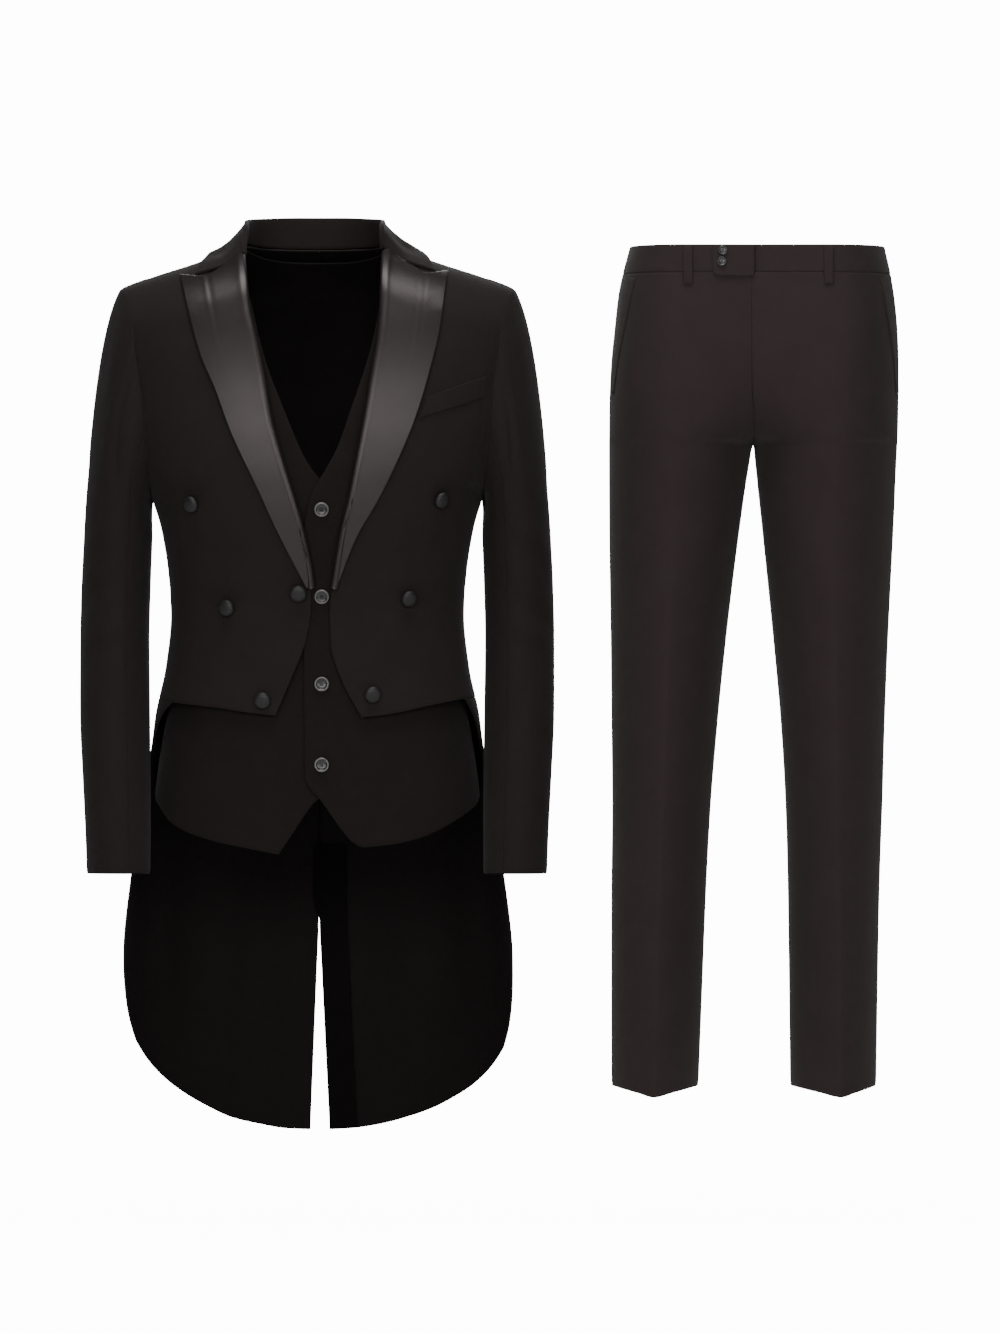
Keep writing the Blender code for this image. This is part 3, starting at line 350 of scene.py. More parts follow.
def cloth_material(name):
    dark, light, roughness, sheen, count, bump, specular = CLOTHS[name]
    made = bpy.data.materials.new(name + "_cloth")
    made.use_nodes = True
    tree = made.node_tree
    shader = tree.nodes["Principled BSDF"]
    flat = tree.nodes.new("ShaderNodeUVMap")
    flat.uv_map = "cloth"
    threads = tree.nodes.new("ShaderNodeGroup")
    threads.node_tree = THREADS
    threads.inputs["Threads per metre"].default_value = count
    threads.inputs["Slant"].default_value = 0.0 if name == "satin" else 1.0
    link(tree, flat.outputs["UV"], threads.inputs["Vector"])
    tone = tree.nodes.new("ShaderNodeMix")
    tone.data_type = "RGBA"
    tone.inputs[6].default_value = (*dark, 1)
    tone.inputs[7].default_value = (*light, 1)
    link(tree, threads.outputs["Mottle"], tone.inputs[0])
    link(tree, tone.outputs[2], shader.inputs["Base Color"])
    relief = tree.nodes.new("ShaderNodeBump")
    relief.inputs["Strength"].default_value = 0.55
    relief.inputs["Distance"].default_value = bump * MM
    link(tree, threads.outputs["Height"], relief.inputs["Height"])
    link(tree, relief.outputs["Normal"], shader.inputs["Normal"])
    shader.inputs["Roughness"].default_value = roughness
    shader.inputs["Specular IOR Level"].default_value = specular
    shader.inputs["Specular Tint"].default_value = RED_SHINE
    shader.inputs["Sheen Weight"].default_value = sheen
    shader.inputs["Sheen Roughness"].default_value = 0.45
    return made


MATERIALS = {name: cloth_material(name) for name in CLOTHS}
print("cloths:", list(MATERIALS))

# %% [markdown]
# Buttons and thread are small. The waistcoat's buttons are dark horn with a painted highlight, a
# paler rim; the coat's are covered with satin gathered tight, and the thread is a matt twist.

# %% Horn, tight satin and thread
def hard_material(name, colour, roughness, specular, spots):
    made = bpy.data.materials.new(name)
    made.use_nodes = True
    tree = made.node_tree
    shader = tree.nodes["Principled BSDF"]
    place = tree.nodes.new("ShaderNodeTexCoord")
    grain = tree.nodes.new("ShaderNodeTexNoise")
    grain.inputs["Scale"].default_value = spots
    grain.inputs["Detail"].default_value = 4
    link(tree, place.outputs["Object"], grain.inputs["Vector"])
    tone = tree.nodes.new("ShaderNodeMix")
    tone.data_type = "RGBA"
    tone.inputs[6].default_value = (*[c * 0.8 for c in colour], 1)
    tone.inputs[7].default_value = (*[c * 1.25 for c in colour], 1)
    link(tree, grain.outputs["Fac"], tone.inputs[0])
    link(tree, tone.outputs[2], shader.inputs["Base Color"])
    worn = tree.nodes.new("ShaderNodeMapRange")
    worn.inputs["To Min"].default_value = roughness * 0.8
    worn.inputs["To Max"].default_value = min(roughness * 1.3, 1)
    link(tree, grain.outputs["Fac"], worn.inputs["Value"])
    link(tree, worn.outputs["Result"], shader.inputs["Roughness"])
    shader.inputs["Specular IOR Level"].default_value = specular
    return made


HORN = hard_material("button_horn", (0.012, 0.011, 0.012), 0.30, 0.6, 260)
# a paler horn colour on the raised rim: a painted highlight where the rim catches light
RIM_PAINTED_HIGHLIGHT = hard_material("button_rim_painted_highlight", (0.075, 0.068, 0.068), 0.28, 0.8, 260)
COVERED_SATIN = hard_material("button_satin", (0.0085, 0.0075, 0.0075), 0.48, 0.4, 900)
THREAD = hard_material("thread", (0.010, 0.010, 0.010), 0.7, 0.3, 3000)
print("hard materials:", HORN.name, THREAD.name)

# %% [markdown]
# ## From a grid to a sheet
#
# Blender's grid operator gives the rows and columns. Each corner then moves to its place on the
# garment, and solidify gives the cloth its thickness on the inside. The outermost line is set in a
# little, because a sewn edge is folded and so it is round. The length of cloth along each row and
# column becomes the flat map that the weave is drawn on, and the cut is measured from it.

# %% Measure a sheet of cloth
CLOTH_WALL = 2.0
EDGE_DROP = (0.75, 0.22, 0.0)  # how far the edge and the lines next to it are set in


def edge_fall(rows, columns):
    """How far the cloth is set in, line by line from its edges."""
    fall = np.zeros((rows, columns))
    for k, drop in enumerate(EDGE_DROP):
        line = np.zeros((rows, columns), bool)
        line[k], line[-1 - k], line[:, k], line[:, -1 - k] = True, True, True, True
        fall = np.where(line & (fall < drop), drop, fall)
    return fall


def flat_map(points):
    """Lengths of cloth across and down, from the middle column and the top row."""
    across = np.linalg.norm(np.diff(points, axis=1), axis=-1)
    down = np.linalg.norm(np.diff(points, axis=0), axis=-1)
    u = np.concatenate([np.zeros((len(points), 1)), np.cumsum(across, axis=1)], axis=1)
    v = np.concatenate([np.zeros((1, points.shape[1])), np.cumsum(down, axis=0)], axis=0)
    return u - u[:, -1:] / 2, v


def cloth_area(points):
    one = np.cross(points[1:, :-1] - points[:-1, :-1], points[:-1, 1:] - points[:-1, :-1])
    two = np.cross(points[1:, 1:] - points[:-1, 1:], points[1:, 1:] - points[1:, :-1])
    return (np.linalg.norm(one, axis=-1).sum() + np.linalg.norm(two, axis=-1).sum()) / 2


# %% Make a sheet of cloth
def grid_mesh(name, points, u, v):
    """A mesh of the points with their flat map, and each corner's row and column."""
    rows, columns = points.shape[:2]
    bm = bmesh.new()
    bmesh.ops.create_grid(bm, x_segments=columns - 1, y_segments=rows - 1, size=1)
    mesh = bpy.data.meshes.new(name)
    bm.to_mesh(mesh)
    bm.free()
    corners = np.empty(len(mesh.vertices) * 3)
    mesh.vertices.foreach_get("co", corners)
    corners = corners.reshape(-1, 3)
    c = np.rint((corners[:, 0] + 1) / 2 * (columns - 1)).astype(int)
    r = np.rint((corners[:, 1] + 1) / 2 * (rows - 1)).astype(int)
    mesh.vertices.foreach_set("co", (points[r, c] * MM).ravel())
    loops = np.empty(len(mesh.loops), int)
    mesh.loops.foreach_get("vertex_index", loops)
    flat = mesh.uv_layers.new(name="cloth")
    flat.uv.foreach_set("vector", (np.stack([u[r, c], v[r, c]], axis=-1)[loops] * MM).ravel())
    return mesh, r, c


def thicken(mesh, points, outward, r, c, thick):
    """Gives the sheet its inside, and counts the faces of its outside, which come first."""
    bm = bmesh.new()
    bm.from_mesh(mesh)
    bm.normal_update()
    bm.faces.ensure_lookup_table()
    middle = bm.faces[len(bm.faces) // 2]
    centre = middle.calc_center_median() / MM
    nearest = np.argmin(np.linalg.norm(points.reshape(-1, 3) - np.array(centre), axis=1))
    if np.dot(outward.reshape(-1, 3)[nearest], middle.normal) < 0:
        bmesh.ops.reverse_faces(bm, faces=bm.faces)
    outer, count = len(bm.faces), len(bm.verts)
    number = bm.verts.layers.int.new("number")
    for vert in bm.verts:
        vert[number] = vert.index
    bmesh.ops.solidify(bm, geom=bm.faces[:], thickness=thick * MM)
    walls = (points[r, c] * MM, (points[r, c] - outward[r, c] * thick) * MM)
    for k, vert in enumerate(bm.verts):
        vert.co = walls[k >= count][vert[number]]
    bm.verts.layers.int.remove(number)
    bm.to_mesh(mesh)
    bm.free()
    return outer


def placed(name, data):
    """A new object in the scene."""
    made = bpy.data.objects.new(name, data)
    bpy.context.scene.collection.objects.link(made)
    return made


def cloth(
    name, node, slot, points, outward, thick, lining=None, rounded=True
):
    """A sheet of cloth on a grid of outer points, which stands for a node of the frame."""
    u, v = flat_map(points)
    area = cloth_area(points)
    if rounded:
        points = points - outward * edge_fall(*points.shape[:2])[..., None]
    mesh, r, c = grid_mesh(name, points, u, v)
    outer = thicken(mesh, points, outward, r, c, thick)
    mesh.materials.append(MATERIALS[slot])
    # the inside faces get the lining colour, which is partly painted shade
    if lining:
        mesh.materials.append(MATERIALS[lining])
        index = np.zeros(len(mesh.polygons), int)
        index[outer : 2 * outer] = 1
        mesh.polygons.foreach_set("material_index", index)
    mesh.shade_smooth()
    mesh.set_sharp_from_angle(angle=math.radians(55))
    made = placed(name, mesh)
    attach(made, "root")
    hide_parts(node)
    wide = np.linalg.norm(np.diff(points, axis=1), axis=-1).sum(axis=1).max()
    long = np.linalg.norm(np.diff(points, axis=0), axis=-1).sum(axis=0).max()
    area = min(area, wide * long) * MM * MM
    print(f"{name}: cut {wide:.0f} x {long:.0f} mm, {len(mesh.polygons)} faces")
    return made


# %% [markdown]
# Where two pieces are sewn, a few millimetres of one of them turn in and pass under the other. This
# seam allowance is one more line of cloth beyond the seam, so no light comes through the join.

# %% Turn in a seam allowance
ALLOWANCE, ALLOWANCE_UNDER = 1.8, 2.7  # how far it runs past the seam, and lies under the cloth


def tucked(points, outward, axis, last, share=1.0):
    """Adds the allowance beyond the first or last row (axis 0) or column (axis 1)."""
    points, outward = np.moveaxis(points, axis, 0), np.moveaxis(outward, axis, 0)
    if last:
        points, outward = points[::-1], outward[::-1]
    away = points[0] - points[1]
    away = away / np.maximum(np.linalg.norm(away, axis=-1, keepdims=True), 1e-9)
    turned = away * ALLOWANCE - outward[0] * ALLOWANCE_UNDER
    turned = turned * np.broadcast_to(share, len(away))[:, None]
    points = np.concatenate([[points[0] + turned], points])
    outward = np.concatenate([outward[:1], outward])
    if last:
        points, outward = points[::-1], outward[::-1]
    return np.moveaxis(points, 0, axis), np.moveaxis(outward, 0, axis)


def below_armhole(rows, down, joint):
    """1 along a side seam and nearly 0 past its top, where the armhole starts."""
    return np.clip((joint - steps(rows, down)) * 3, 0.1, 1)


print("allowances ready:", below_armhole(9, 2, 6).round(1))

# %% [markdown]
# ## Creases
#
# Worn wool keeps a few soft troughs and ridges: under the arm where the sleeve hangs, across the
# elbow, and where the trousers pull at the crotch. They are listed one by one, in the piece's own
# millimetres. Each one starts and ends at nothing, bows a little, and has a lower ridge beside it.

# %% Press creases into a sheet
CREASE_FADE = 16.0  # creases die out over this much beside a sewn edge


def near_seams(points, sewn):
    """0 on the sewn edges (first row, last row, first column, last column), 1 well inside."""
    u, v = flat_map(points)
    away = (v, v[-1:] - v, u - u[:, :1], u[:, -1:] - u)
    inside = np.ones(v.shape)
    for distance, held in zip(away, sewn):
        if held:
            t = np.clip(distance / CREASE_FADE, 0, 1)
            inside = inside * t * t * (3 - 2 * t)
    return inside


def pressed(points, outward, across, creases, sewn=(True, True, True, True)):
    """Moves the cloth by its creases: start and end as distance across and z, bow, width, depth."""
    z = points[..., 2]
    moved = np.zeros(z.shape)
    for a0, z0, a1, z1, bow, width, depth in creases:
        run, rise = a1 - a0, z1 - z0
        length = math.hypot(run, rise)
        share = ((across - a0) * run + (z - z0) * rise) / length**2
        held = np.clip(share, 0, 1)
        aside = ((across - a0) * rise - (z - z0) * run) / length - bow * 4 * held * (1 - held)
        past = (share - held) * length
        fade = np.clip(4 * held * (1 - held), 0, 1) ** 0.7
        near = np.exp(-((aside / width) ** 2) - (past / width) ** 2)
        beside = np.exp(-(((aside - 1.7 * width) / (1.2 * width)) ** 2) - (past / width) ** 2)
        moved += depth * fade * (near - 0.45 * beside)
    return points + outward * (moved * near_seams(points, sewn))[..., None]


print("creases ready")

# %% [markdown]
# ## The coat's fronts
#
# Each front runs from the shoulder to a cropped hem at the waist, and its edge follows the line that
# the lapel rolls on. The armhole is cut out of its side. A front is a patch between four edges, so
# the side seam, the shoulder and the armhole agree with the pieces that meet them.

# %% Cut the coat's fronts
# z, x of the line that the lapel rolls on and of the front edge under it
FRONT_EDGE = {
    "R": (
        (-8, -84.5),
        (-34, -81.8),
        (-84, -76),
        (-118, -67.9),
        (-150, -60.9),
        (-208, -51),
        (-258, -37.7),
        (-311, -21.5),
        (-342, -13),
        (-406, -2.4),
        (-441, -5.2),
        (-472, -14.5),
        (-507, -28.4),
        (-551, -47),
    ),
    "L": (
        (-8, 76.5),
        (-34, 74.5),
        (-84, 73.2),
        (-118, 70),
        (-150, 64.4),
        (-208, 55),
        (-258, 45.8),
        (-304, 37),
        (-338, 28.5),
        (-406, 17.2),
        (-441, 12.2),
        (-472, 18),
        (-510, 29.6),
        (-553, 52.8),
    ),
}
# x, z along the cropped hem from the front corner to the tail
FRONT_HEM = {
    "R": ((-47, -551), (-70, -549), (-105, -543), (-140, -539), (-165, -536)),
    "L": ((52.8, -553), (87.6, -549), (127, -540), (150, -535.5), (171, -531.5)),
}
SIDE_WAIST, BACK_WAIST, WAIST_GAP = -530.0, -527.0, 0.6
# distance from the middle, z round the armhole from the shoulder down to the side seam
ARMHOLE_FRONT = (
    (228.5, -57),
    (220.5, -73),
    (212, -108),
    (206, -151),
    (199, -215),
    (196, -258),
    (192, -286),
)
ARMHOLE_BACK = (
    (228.5, -57),
    (222, -78),
    (214.5, -122),
    (208, -175),
    (202, -228),
    (195, -270),
    (190, -292),
)
ARMHOLE_BOTTOM = -302.0
ROUND = np.array([200.0, 1.0])  # scales an angle to a length like those of z
ARM_STEPS = np.sin(np.linspace(0, math.pi / 2, 9)) * 0.4 + np.linspace(0, 1, 9) * 0.6
ROLL_BACK = 4.0  # the front's edge is set back this far under the lapel's roll
BACK_POWER = 1.25  # packs the columns toward the centre back, which the rings spread


def armhole(form, side, arm, bottom, behind):
    """(angle, z) round half an armhole, from the side seam up to the shoulder."""
    edge = sign(side) * (SIDE + (SEAM if behind else -SEAM) / 170)
    up = places(form, [(sign(side) * x, z) for x, z in arm[::-1]], behind)
    path = np.vstack([[edge, bottom], up])
    return along(path * ROUND, ARM_STEPS) / ROUND


def waist_z(side, angle):
    """The height of the hem and the waist seam, round from the front."""
    behind = [(sign(side) * SIDE, SIDE_WAIST), (sign(side) * math.pi, BACK_WAIST)]
    path = np.vstack([places(COAT, FRONT_HEM[side]), behind])
    return np.interp(np.abs(angle), np.abs(path[:, 0]), path[:, 1])


def shoulder(form, x, behind, neck=None):
    """(angle, z) along the shoulder, and where the back's neck is cut, down from it."""
    z = column(SHOULDER, 1, np.abs(x)) - form[1]
    if neck is not None:
        side_x, back_z = neck
        corner = column(SHOULDER, 1, side_x) - form[1]
        z = np.where(np.abs(x) < side_x, back_z + (corner - back_z) * (np.abs(x) / side_x) ** 3, z)
    return np.stack([angle_of(form, x, z, behind), z], axis=-1)


def panel(inner, hem, side_z, loop, top, rows, power=1.0):
    """(angle, z) of a front or a back: inner edge, hem, side seam with armhole, shoulder."""
    share = np.append(np.linspace(0, 0.46, rows), 0.46 + 0.54 * ARM_STEPS[1:])
    seam = np.stack([np.full(rows, loop[0, 0]), spread(side_z, loop[0, 1], rows)], axis=-1)
    outer = np.vstack([seam, loop[1:-1], top[-1]])
    edge = np.vstack([inner(share)[:-1], top[0]])
    return patch(edge, outer, hem, top, share, np.linspace(0, 1, len(top)) ** power)


def coat_front(side):
    s = sign(side)
    edge = FRONT_EDGE[side]
    low, high = edge[-1][0], column(SHOULDER, 1, abs(edge[0][1]))

    def inner(share):
        z = low + (high - low) * share
        back = ROLL_BACK * np.clip((z + 445) / 30, 0, 1)
        return np.stack([angle_of(COAT, column(edge, 1, z) + s * back, z), z], axis=-1)

    loop = armhole(COAT, side, ARMHOLE_FRONT, ARMHOLE_BOTTOM, False)
    angle = spread(inner(np.array([0.0]))[0, 0], loop[0, 0], 9)
    hem = np.stack([angle, waist_z(side, angle)], axis=-1)
    x = np.sign(s) * spread(abs(edge[0][1]) + ROLL_BACK, ARMHOLE_FRONT[0][0], 9)
    top = shoulder(COAT, x, False)
    return panel(inner, hem, SIDE_WAIST, loop, top, 7)


def on_body(form, grid, seam_y, lift=None):
    """Outer points on the body at a fine grid of (angle, z), and the way they face."""

    def surface(angle, z):
        return body(form, angle, z, seam_y)

    angle, z = grid[..., 0], grid[..., 1]
    outward = facing(surface, angle, z)
    points = surface(angle, z)
    return (points if lift is None else points + outward * lift[..., None]), outward


# across, z at the start, across, z at the end, bow, width, depth
FRONT_CREASES = {
    "R": (
        (-212, -110, -186, -262, 8, 11, -3.2),
        (-196, -285, -128, -300, -6, 13, -1.4),
        (-171, -392, -96, -420, 6, 12, -1.0),
        (-168, -450, -60, -414, -7, 14, -1.0),
        (-150, -330, -150, -505, 4, 20, 0.9),
        (-96, -470, -62, -538, 5, 14, -0.8),
    ),
    "L": (
        (213, -120, 187, -268, -8, 11, -3.4),
        (194, -290, 132, -312, 6, 12, -1.5),
        (172, -398, 92, -428, -6, 13, -1.1),
        (166, -456, 64, -410, 8, 13, -0.9),
        (148, -340, 152, -500, -4, 20, 0.9),
        (94, -466, 66, -540, -5, 13, -0.8),
    ),
}
fronts = {}
for side in "RL":
    coarse = coat_front(side)
    points, outward = on_body(COAT, fine(coarse, 9, 8), SHOULDER_Y - SHOULDER_GAP)
    points = pressed(points, outward, points[..., 0], FRONT_CREASES[side])
    points, outward = tucked(points, outward, 1, True, below_armhole(len(coarse), 9, 6))
    points, outward = tucked(points, outward, 0, True)
    name, node = f"front_{side}", f"coat_front_{side}"
    fronts[side] = cloth(name, node, "wool", points, outward, CLOTH_WALL, "lining")

# %% [markdown]
# ## The coat's back and tails
#
# The back meets itself in a seam down the middle. Below the waist two tails hang from it, rounded
# at their lower corners and open between them, and a band behind the opening belongs to the left
# tail. The tails are lined, and the lining shows from the front. Its colour is set darker than the
# wool: partly a real dark lining, and partly painted shade for the hollow inside the coat.

# %% Cut the back, the tails and the vent band
NECK_SIDE, NECK_BACK_Z = 85.0, -9.0
# degrees round from the centre front, z down the tail's outer edge
TAIL_EDGE = {
    "R": (
        (64, -536),
        (74, -551),
        (81, -568),
        (87, -592),
        (95.5, -626),
        (98, -680),
        (98.2, -733),
        (98.8, -774),
        (100.5, -812),
        (105.5, -850),
        (111, -893),
        (118, -930.5),
    ),
    "L": (
        (68, -531.5),
        (75, -548),
        (81, -568),
        (87, -592),
        (95.5, -626),
        (98, -680),
        (98.2, -733),
        (98.8, -774),
        (100, -812),
        (104, -850),
        (108.5, -898),
        (115.8, -938.5),
    ),
}
# distance from the middle, z along the tail's rounded bottom, from the outer corner to the vent
TAIL_BOTTOM = {
    "R": (
        (210.5, -930.5),
        (193, -961.5),
        (163, -988.5),
        (133, -1007),
        (98, -1023),
        (66.7, -1030),
        (35.4, -1035),
        (11, -1036),
    ),
    "L": (
        (213.5, -938.5),
        (194, -970.5),
        (165.3, -993),
        (127, -1013),
        (87.6, -1025.5),
        (49.3, -1033.6),
        (13.3, -1037),
    ),
}
VENT_TOP, VENT_FOOT = -788.0, -1036.0
VENT_OPEN = {"R": 10.0, "L": 12.3}
BAND_WIDTH = 33.0
BAND_LIFT, BAND_WALL = -2.8, 1.4  # the band lies inside the tail


def coat_back(side):
    s = sign(side)

    def inner(share):
        z = BACK_WAIST + (NECK_BACK_Z - BACK_WAIST) * share
        return np.stack([angle_of(COAT, s * SEAM + 0 * z, z, True), z], axis=-1)

    loop = armhole(COAT, side, ARMHOLE_BACK, ARMHOLE_BOTTOM, True)
    start = inner(np.array([0.0]))[0, 0]
    angle = start + (loop[0, 0] - start) * np.linspace(0, 1, 9) ** BACK_POWER
    hem = np.stack([angle, waist_z(side, angle)], axis=-1)
    x = s * np.array([SEAM, 22, 44, 65, NECK_SIDE, 114, 150, 188, 228.5])
    top = shoulder(COAT, x, True, (NECK_SIDE, NECK_BACK_Z))
    return panel(inner, hem, SIDE_WAIST, loop, top, 7, BACK_POWER)


def tail(side):
    """(angle, z) of a tail: vent edge, outer edge, waist seam, rounded bottom."""
    s = sign(side)
    v, u = np.linspace(0, 1, 14), np.linspace(0, 1, 9) ** BACK_POWER
    z = spread(BACK_WAIST - WAIST_GAP, VENT_FOOT, 14)
    opened = VENT_OPEN[side] * np.clip((VENT_TOP - z) / (VENT_TOP - VENT_FOOT), 0, 1)
    vent = np.stack([angle_of(COAT, s * (SEAM + opened), z, True), z], axis=-1)
    edge = along([(s * math.radians(a), z) for a, z in TAIL_EDGE[side]] * ROUND, v) / ROUND
    edge[:, 1] -= WAIST_GAP * (1 - v)
    bottom = places(COAT, [(s * x, z) for x, z in TAIL_BOTTOM[side][::-1]], True)
    bottom[0], bottom[-1] = vent[-1], edge[-1]
    bottom = along(bottom * ROUND, u) / ROUND
    angle = vent[0, 0] + (edge[0, 0] - vent[0, 0]) * u
    top = np.stack([angle, waist_z(side, angle) - WAIST_GAP], axis=-1)
    edge[0] = top[-1]
    return patch(vent, edge, top, bottom, v, u)


def vent_band():
    z = spread(-704, VENT_FOOT + 3, 12)
    opened = VENT_OPEN["L"] * np.clip((VENT_TOP - z) / (VENT_TOP - VENT_FOOT), 0, 1)
    start = np.where(z > VENT_TOP, -6.0, SEAM + 0.8 + opened)
    x = start[:, None] + (BAND_WIDTH + opened - start)[:, None] * np.linspace(0, 1, 4)
    z = z[:, None] + 0 * x
    return np.stack([math.pi - np.sign(x) * angle_of(COAT, np.abs(x), z), z], axis=-1)


BACK_CREASES = {
    "R": (
        (-196, -130, -176, -270, 7, 12, -2.2),
        (-150, -392, -40, -420, 5, 13, -1.3),
        (-156, -450, -30, -436, -6, 14, -1.1),
        (-96, -60, -60, -230, 7, 26, -1.3),
        (-120, -500, -80, -430, 4, 16, 0.9),
    ),
    "L": (
        (198, -140, 177, -276, -7, 12, -2.1),
        (152, -398, 34, -426, -5, 13, -1.2),
        (154, -446, 40, -440, 6, 14, -1.1),
        (92, -70, 62, -240, -7, 26, -1.3),
        (118, -498, 84, -436, -4, 16, 0.9),
    ),
}
TAIL_CREASES = {
    "R": (
        (-168, -600, -176, -930, 7, 19, -3.0),
        (-104, -640, -112, -985, -6, 24, -2.4),
        (-52, -720, -58, -1010, 5, 17, -1.8),
        (-205, -640, -206, -860, -4, 15, 1.8),
    ),
    "L": (
        (170, -610, 180, -935, -7, 20, -2.8),
        (112, -650, 104, -990, 6, 23, -2.6),
        (62, -715, 70, -1005, -5, 16, -1.6),
        (206, -650, 208, -870, 4, 15, 1.7),
    ),
}
TAIL_SEWN = (True, False, False, False)  # only its waist seam is held
for side in "RL":
    points, outward = on_body(COAT, fine(coat_back(side), 9, 8), SHOULDER_Y + SHOULDER_GAP)
    points = pressed(points, outward, points[..., 0], BACK_CREASES[side])
    if side == "R":
        points, outward = tucked(points, outward, 1, False)
    cloth(f"back_{side}", f"coat_back_{side}", "wool", points, outward, CLOTH_WALL, "lining")
    points, outward = on_body(COAT, fine(tail(side), 9, 8), SHOULDER_Y)
    points = pressed(points, outward, points[..., 0], TAIL_CREASES[side], TAIL_SEWN)
    if side == "R":
        closed = np.clip((points[:, 0, 2] - VENT_TOP) / 20, 0.1, 1)
        points, outward = tucked(points, outward, 1, False, closed)
    points, outward = tucked(points, outward, 0, False)
    name, node = f"tail_{side}", f"coat_tail_{side}"
    cloth(name, node, "wool", points, outward, CLOTH_WALL, "lining")

grid = fine(vent_band(), 9, 6)
points, outward = on_body(COAT, grid, SHOULDER_Y, np.full(grid.shape[:2], BAND_LIFT))
across = np.abs(points[..., 0])
points = pressed(points, outward, across, TAIL_CREASES["L"], (False, False, False, False))
# the vent band's near-black facing colour is partly painted shade in the vent
cloth("vent_band_cloth", "vent_band", "wool", points, outward, BAND_WALL, "facing")

# %% [markdown]
# ## The sleeves
#
# A sleeve is a tube in two parts, a wide top and a narrow under, joined by a seam in front and one
# behind. Its cap is pulled off the armhole and then falls, which a curve from the armhole to the
# upper arm gives, with its own pull at each side. Both sleeves hang slightly forward.

# %% Cut the sleeves
# z, middle of the sleeve across, middle front to back, half width, half depth
SLEEVE = (
    (-345, 230.9, -4, 39.9, 68),
    (-400, 233.2, -4, 40.2, 66),
    (-460, 234.6, -10, 40.2, 63.5),
    (-549, 234, -24, 40.6, 60),
    (-626, 231.8, -36, 39.3, 57.5),
    (-690, 230, -44, 37.8, 55),
    (-734, 229.4, -49, 36.8, 53),
)
# pull of the sleeve's cap off the armhole at the top, front, underarm and back
CAP_START = ((82, 0, -142), (66, -34, -150), (6, 0, -42), (70, 34, -150))
CAP_END = ((12, 0, -250), (8, 0, -190), (0, 0, -60), (8, 0, -190))
CAP_RIM = np.array([0.1, 1, 1])  # the cap's wall starts square to the armhole, by this share of x
CAP_ALLOWANCE = (2.4, 2.9)  # how far it runs in from the armhole, and lies under the cloth
CUFF_SLOPE = 0.03  # the cuff's front is this much higher than its back, for each mm
SLEEVE_PARTS = 6
SLEEVE_SEAMS = (5 * SLEEVE_PARTS, 11 * SLEEVE_PARTS)  # the front and back seam's columns
CAP_SHARES = (0, 0.08, 0.2, 0.36, 0.56, 0.8, 1)
ARM_RINGS = (-345, -405, -465, -530, -600, -670, -734)


def arm_loop(behind):
    """The armhole's edge from the shoulder down, the allowance under the cloth, and its facing."""
    t = np.linspace(0, 1, 8 * SLEEVE_PARTS + 1)
    share = np.sin(t * math.pi / 2) * 0.4 + t * 0.6
    coarse = coat_back("L") if behind else coat_front("L")
    grid = fine(coarse, 9, 8)[steps(len(coarse), 9) >= 6]
    run = np.diff(grid[:, -1] * ROUND, axis=0)
    lengths = np.append(0, np.cumsum(np.hypot(run[:, 0], run[:, 1])))
    lengths /= lengths[-1]

    def surface(angle, z):
        return body(COAT, angle, z, SHOULDER_Y + (SHOULDER_GAP if behind else -SHOULDER_GAP))

    def read(line):
        return [np.interp(share, lengths, line[:, k]) for k in (0, 1)]

    rim = read(grid[:, -1])
    edge, inside, normal = surface(*rim), surface(*read(grid[:, -5])), facing(surface, *rim)
    inward = (inside - edge) / np.linalg.norm(inside - edge, axis=1, keepdims=True)
    under = edge + inward * CAP_ALLOWANCE[0] - normal * CAP_ALLOWANCE[1]
    return edge[::-1], under[::-1], normal[::-1]


def sleeve(side):
    """The whole sleeve as closed rings, from its allowance inside the armhole to the cuff."""
    s = sign(side)
    rings = zip(arm_loop(False), arm_loop(True))
    loop, under, facing_out = [np.vstack([ahead, behind[::-1][1:-1]]) for ahead, behind in rings]
    half = spread(0, math.pi, 8 * SLEEVE_PARTS + 1)
    around = np.append(half, math.pi + half[1:-1])
    middle = np.array([SLEEVE[0][1], SLEEVE[0][2], SLEEVE[0][0]])
    oval = [np.cos(around) * SLEEVE[0][3], -np.sin(around) * SLEEVE[0][4], 0 * around]
    ring = middle + np.stack(oval, axis=-1)

    def blended(four):
        four = np.array(four, float)
        turn = around / (math.pi / 2)
        k = turn.astype(int) % 4
        t = 0.5 - 0.5 * np.cos((turn - turn.astype(int)) * math.pi)
        return four[k] * (1 - t)[:, None] + four[(k + 1) % 4] * t[:, None]

    start, end = blended(CAP_START), blended(CAP_END)
    away = start / np.linalg.norm(start, axis=1, keepdims=True)
    loop = loop + away * 0.35 + [0.5, 0, 0]
    rings = []
    for t in smooth(range(7), CAP_SHARES, steps(7, 8)[:-3]):
        a, b = (1 + 2 * t) * (1 - t) ** 2, t * (1 - t) ** 2
        c, d = t * t * (3 - 2 * t), t * t * (t - 1)
        rings.append(a * loop + b * start + c * ring + d * end)
    for z in smooth(range(7), ARM_RINGS, steps(7, 11)[3:]):
        across, deep, wide, depth = (column(SLEEVE, k, z) for k in (1, 2, 3, 4))
        y = -np.sin(around) * depth
        slope = CUFF_SLOPE * y * np.clip((-z - 600) / 134, 0, 1)
        rings.append(np.stack([across + np.cos(around) * wide, deep + y, z - slope + 0 * y], axis=-1))
    mirror = [s, 1, 1]
    points = np.array(rings) * mirror
    outward = grid_normals(points, closed=True) * s
    rim = outward[0] * CAP_RIM
    outward[0] = rim / np.linalg.norm(rim, axis=1, keepdims=True)
    points = np.concatenate([[under * mirror], points])
    return points, np.concatenate([[facing_out * mirror], outward])


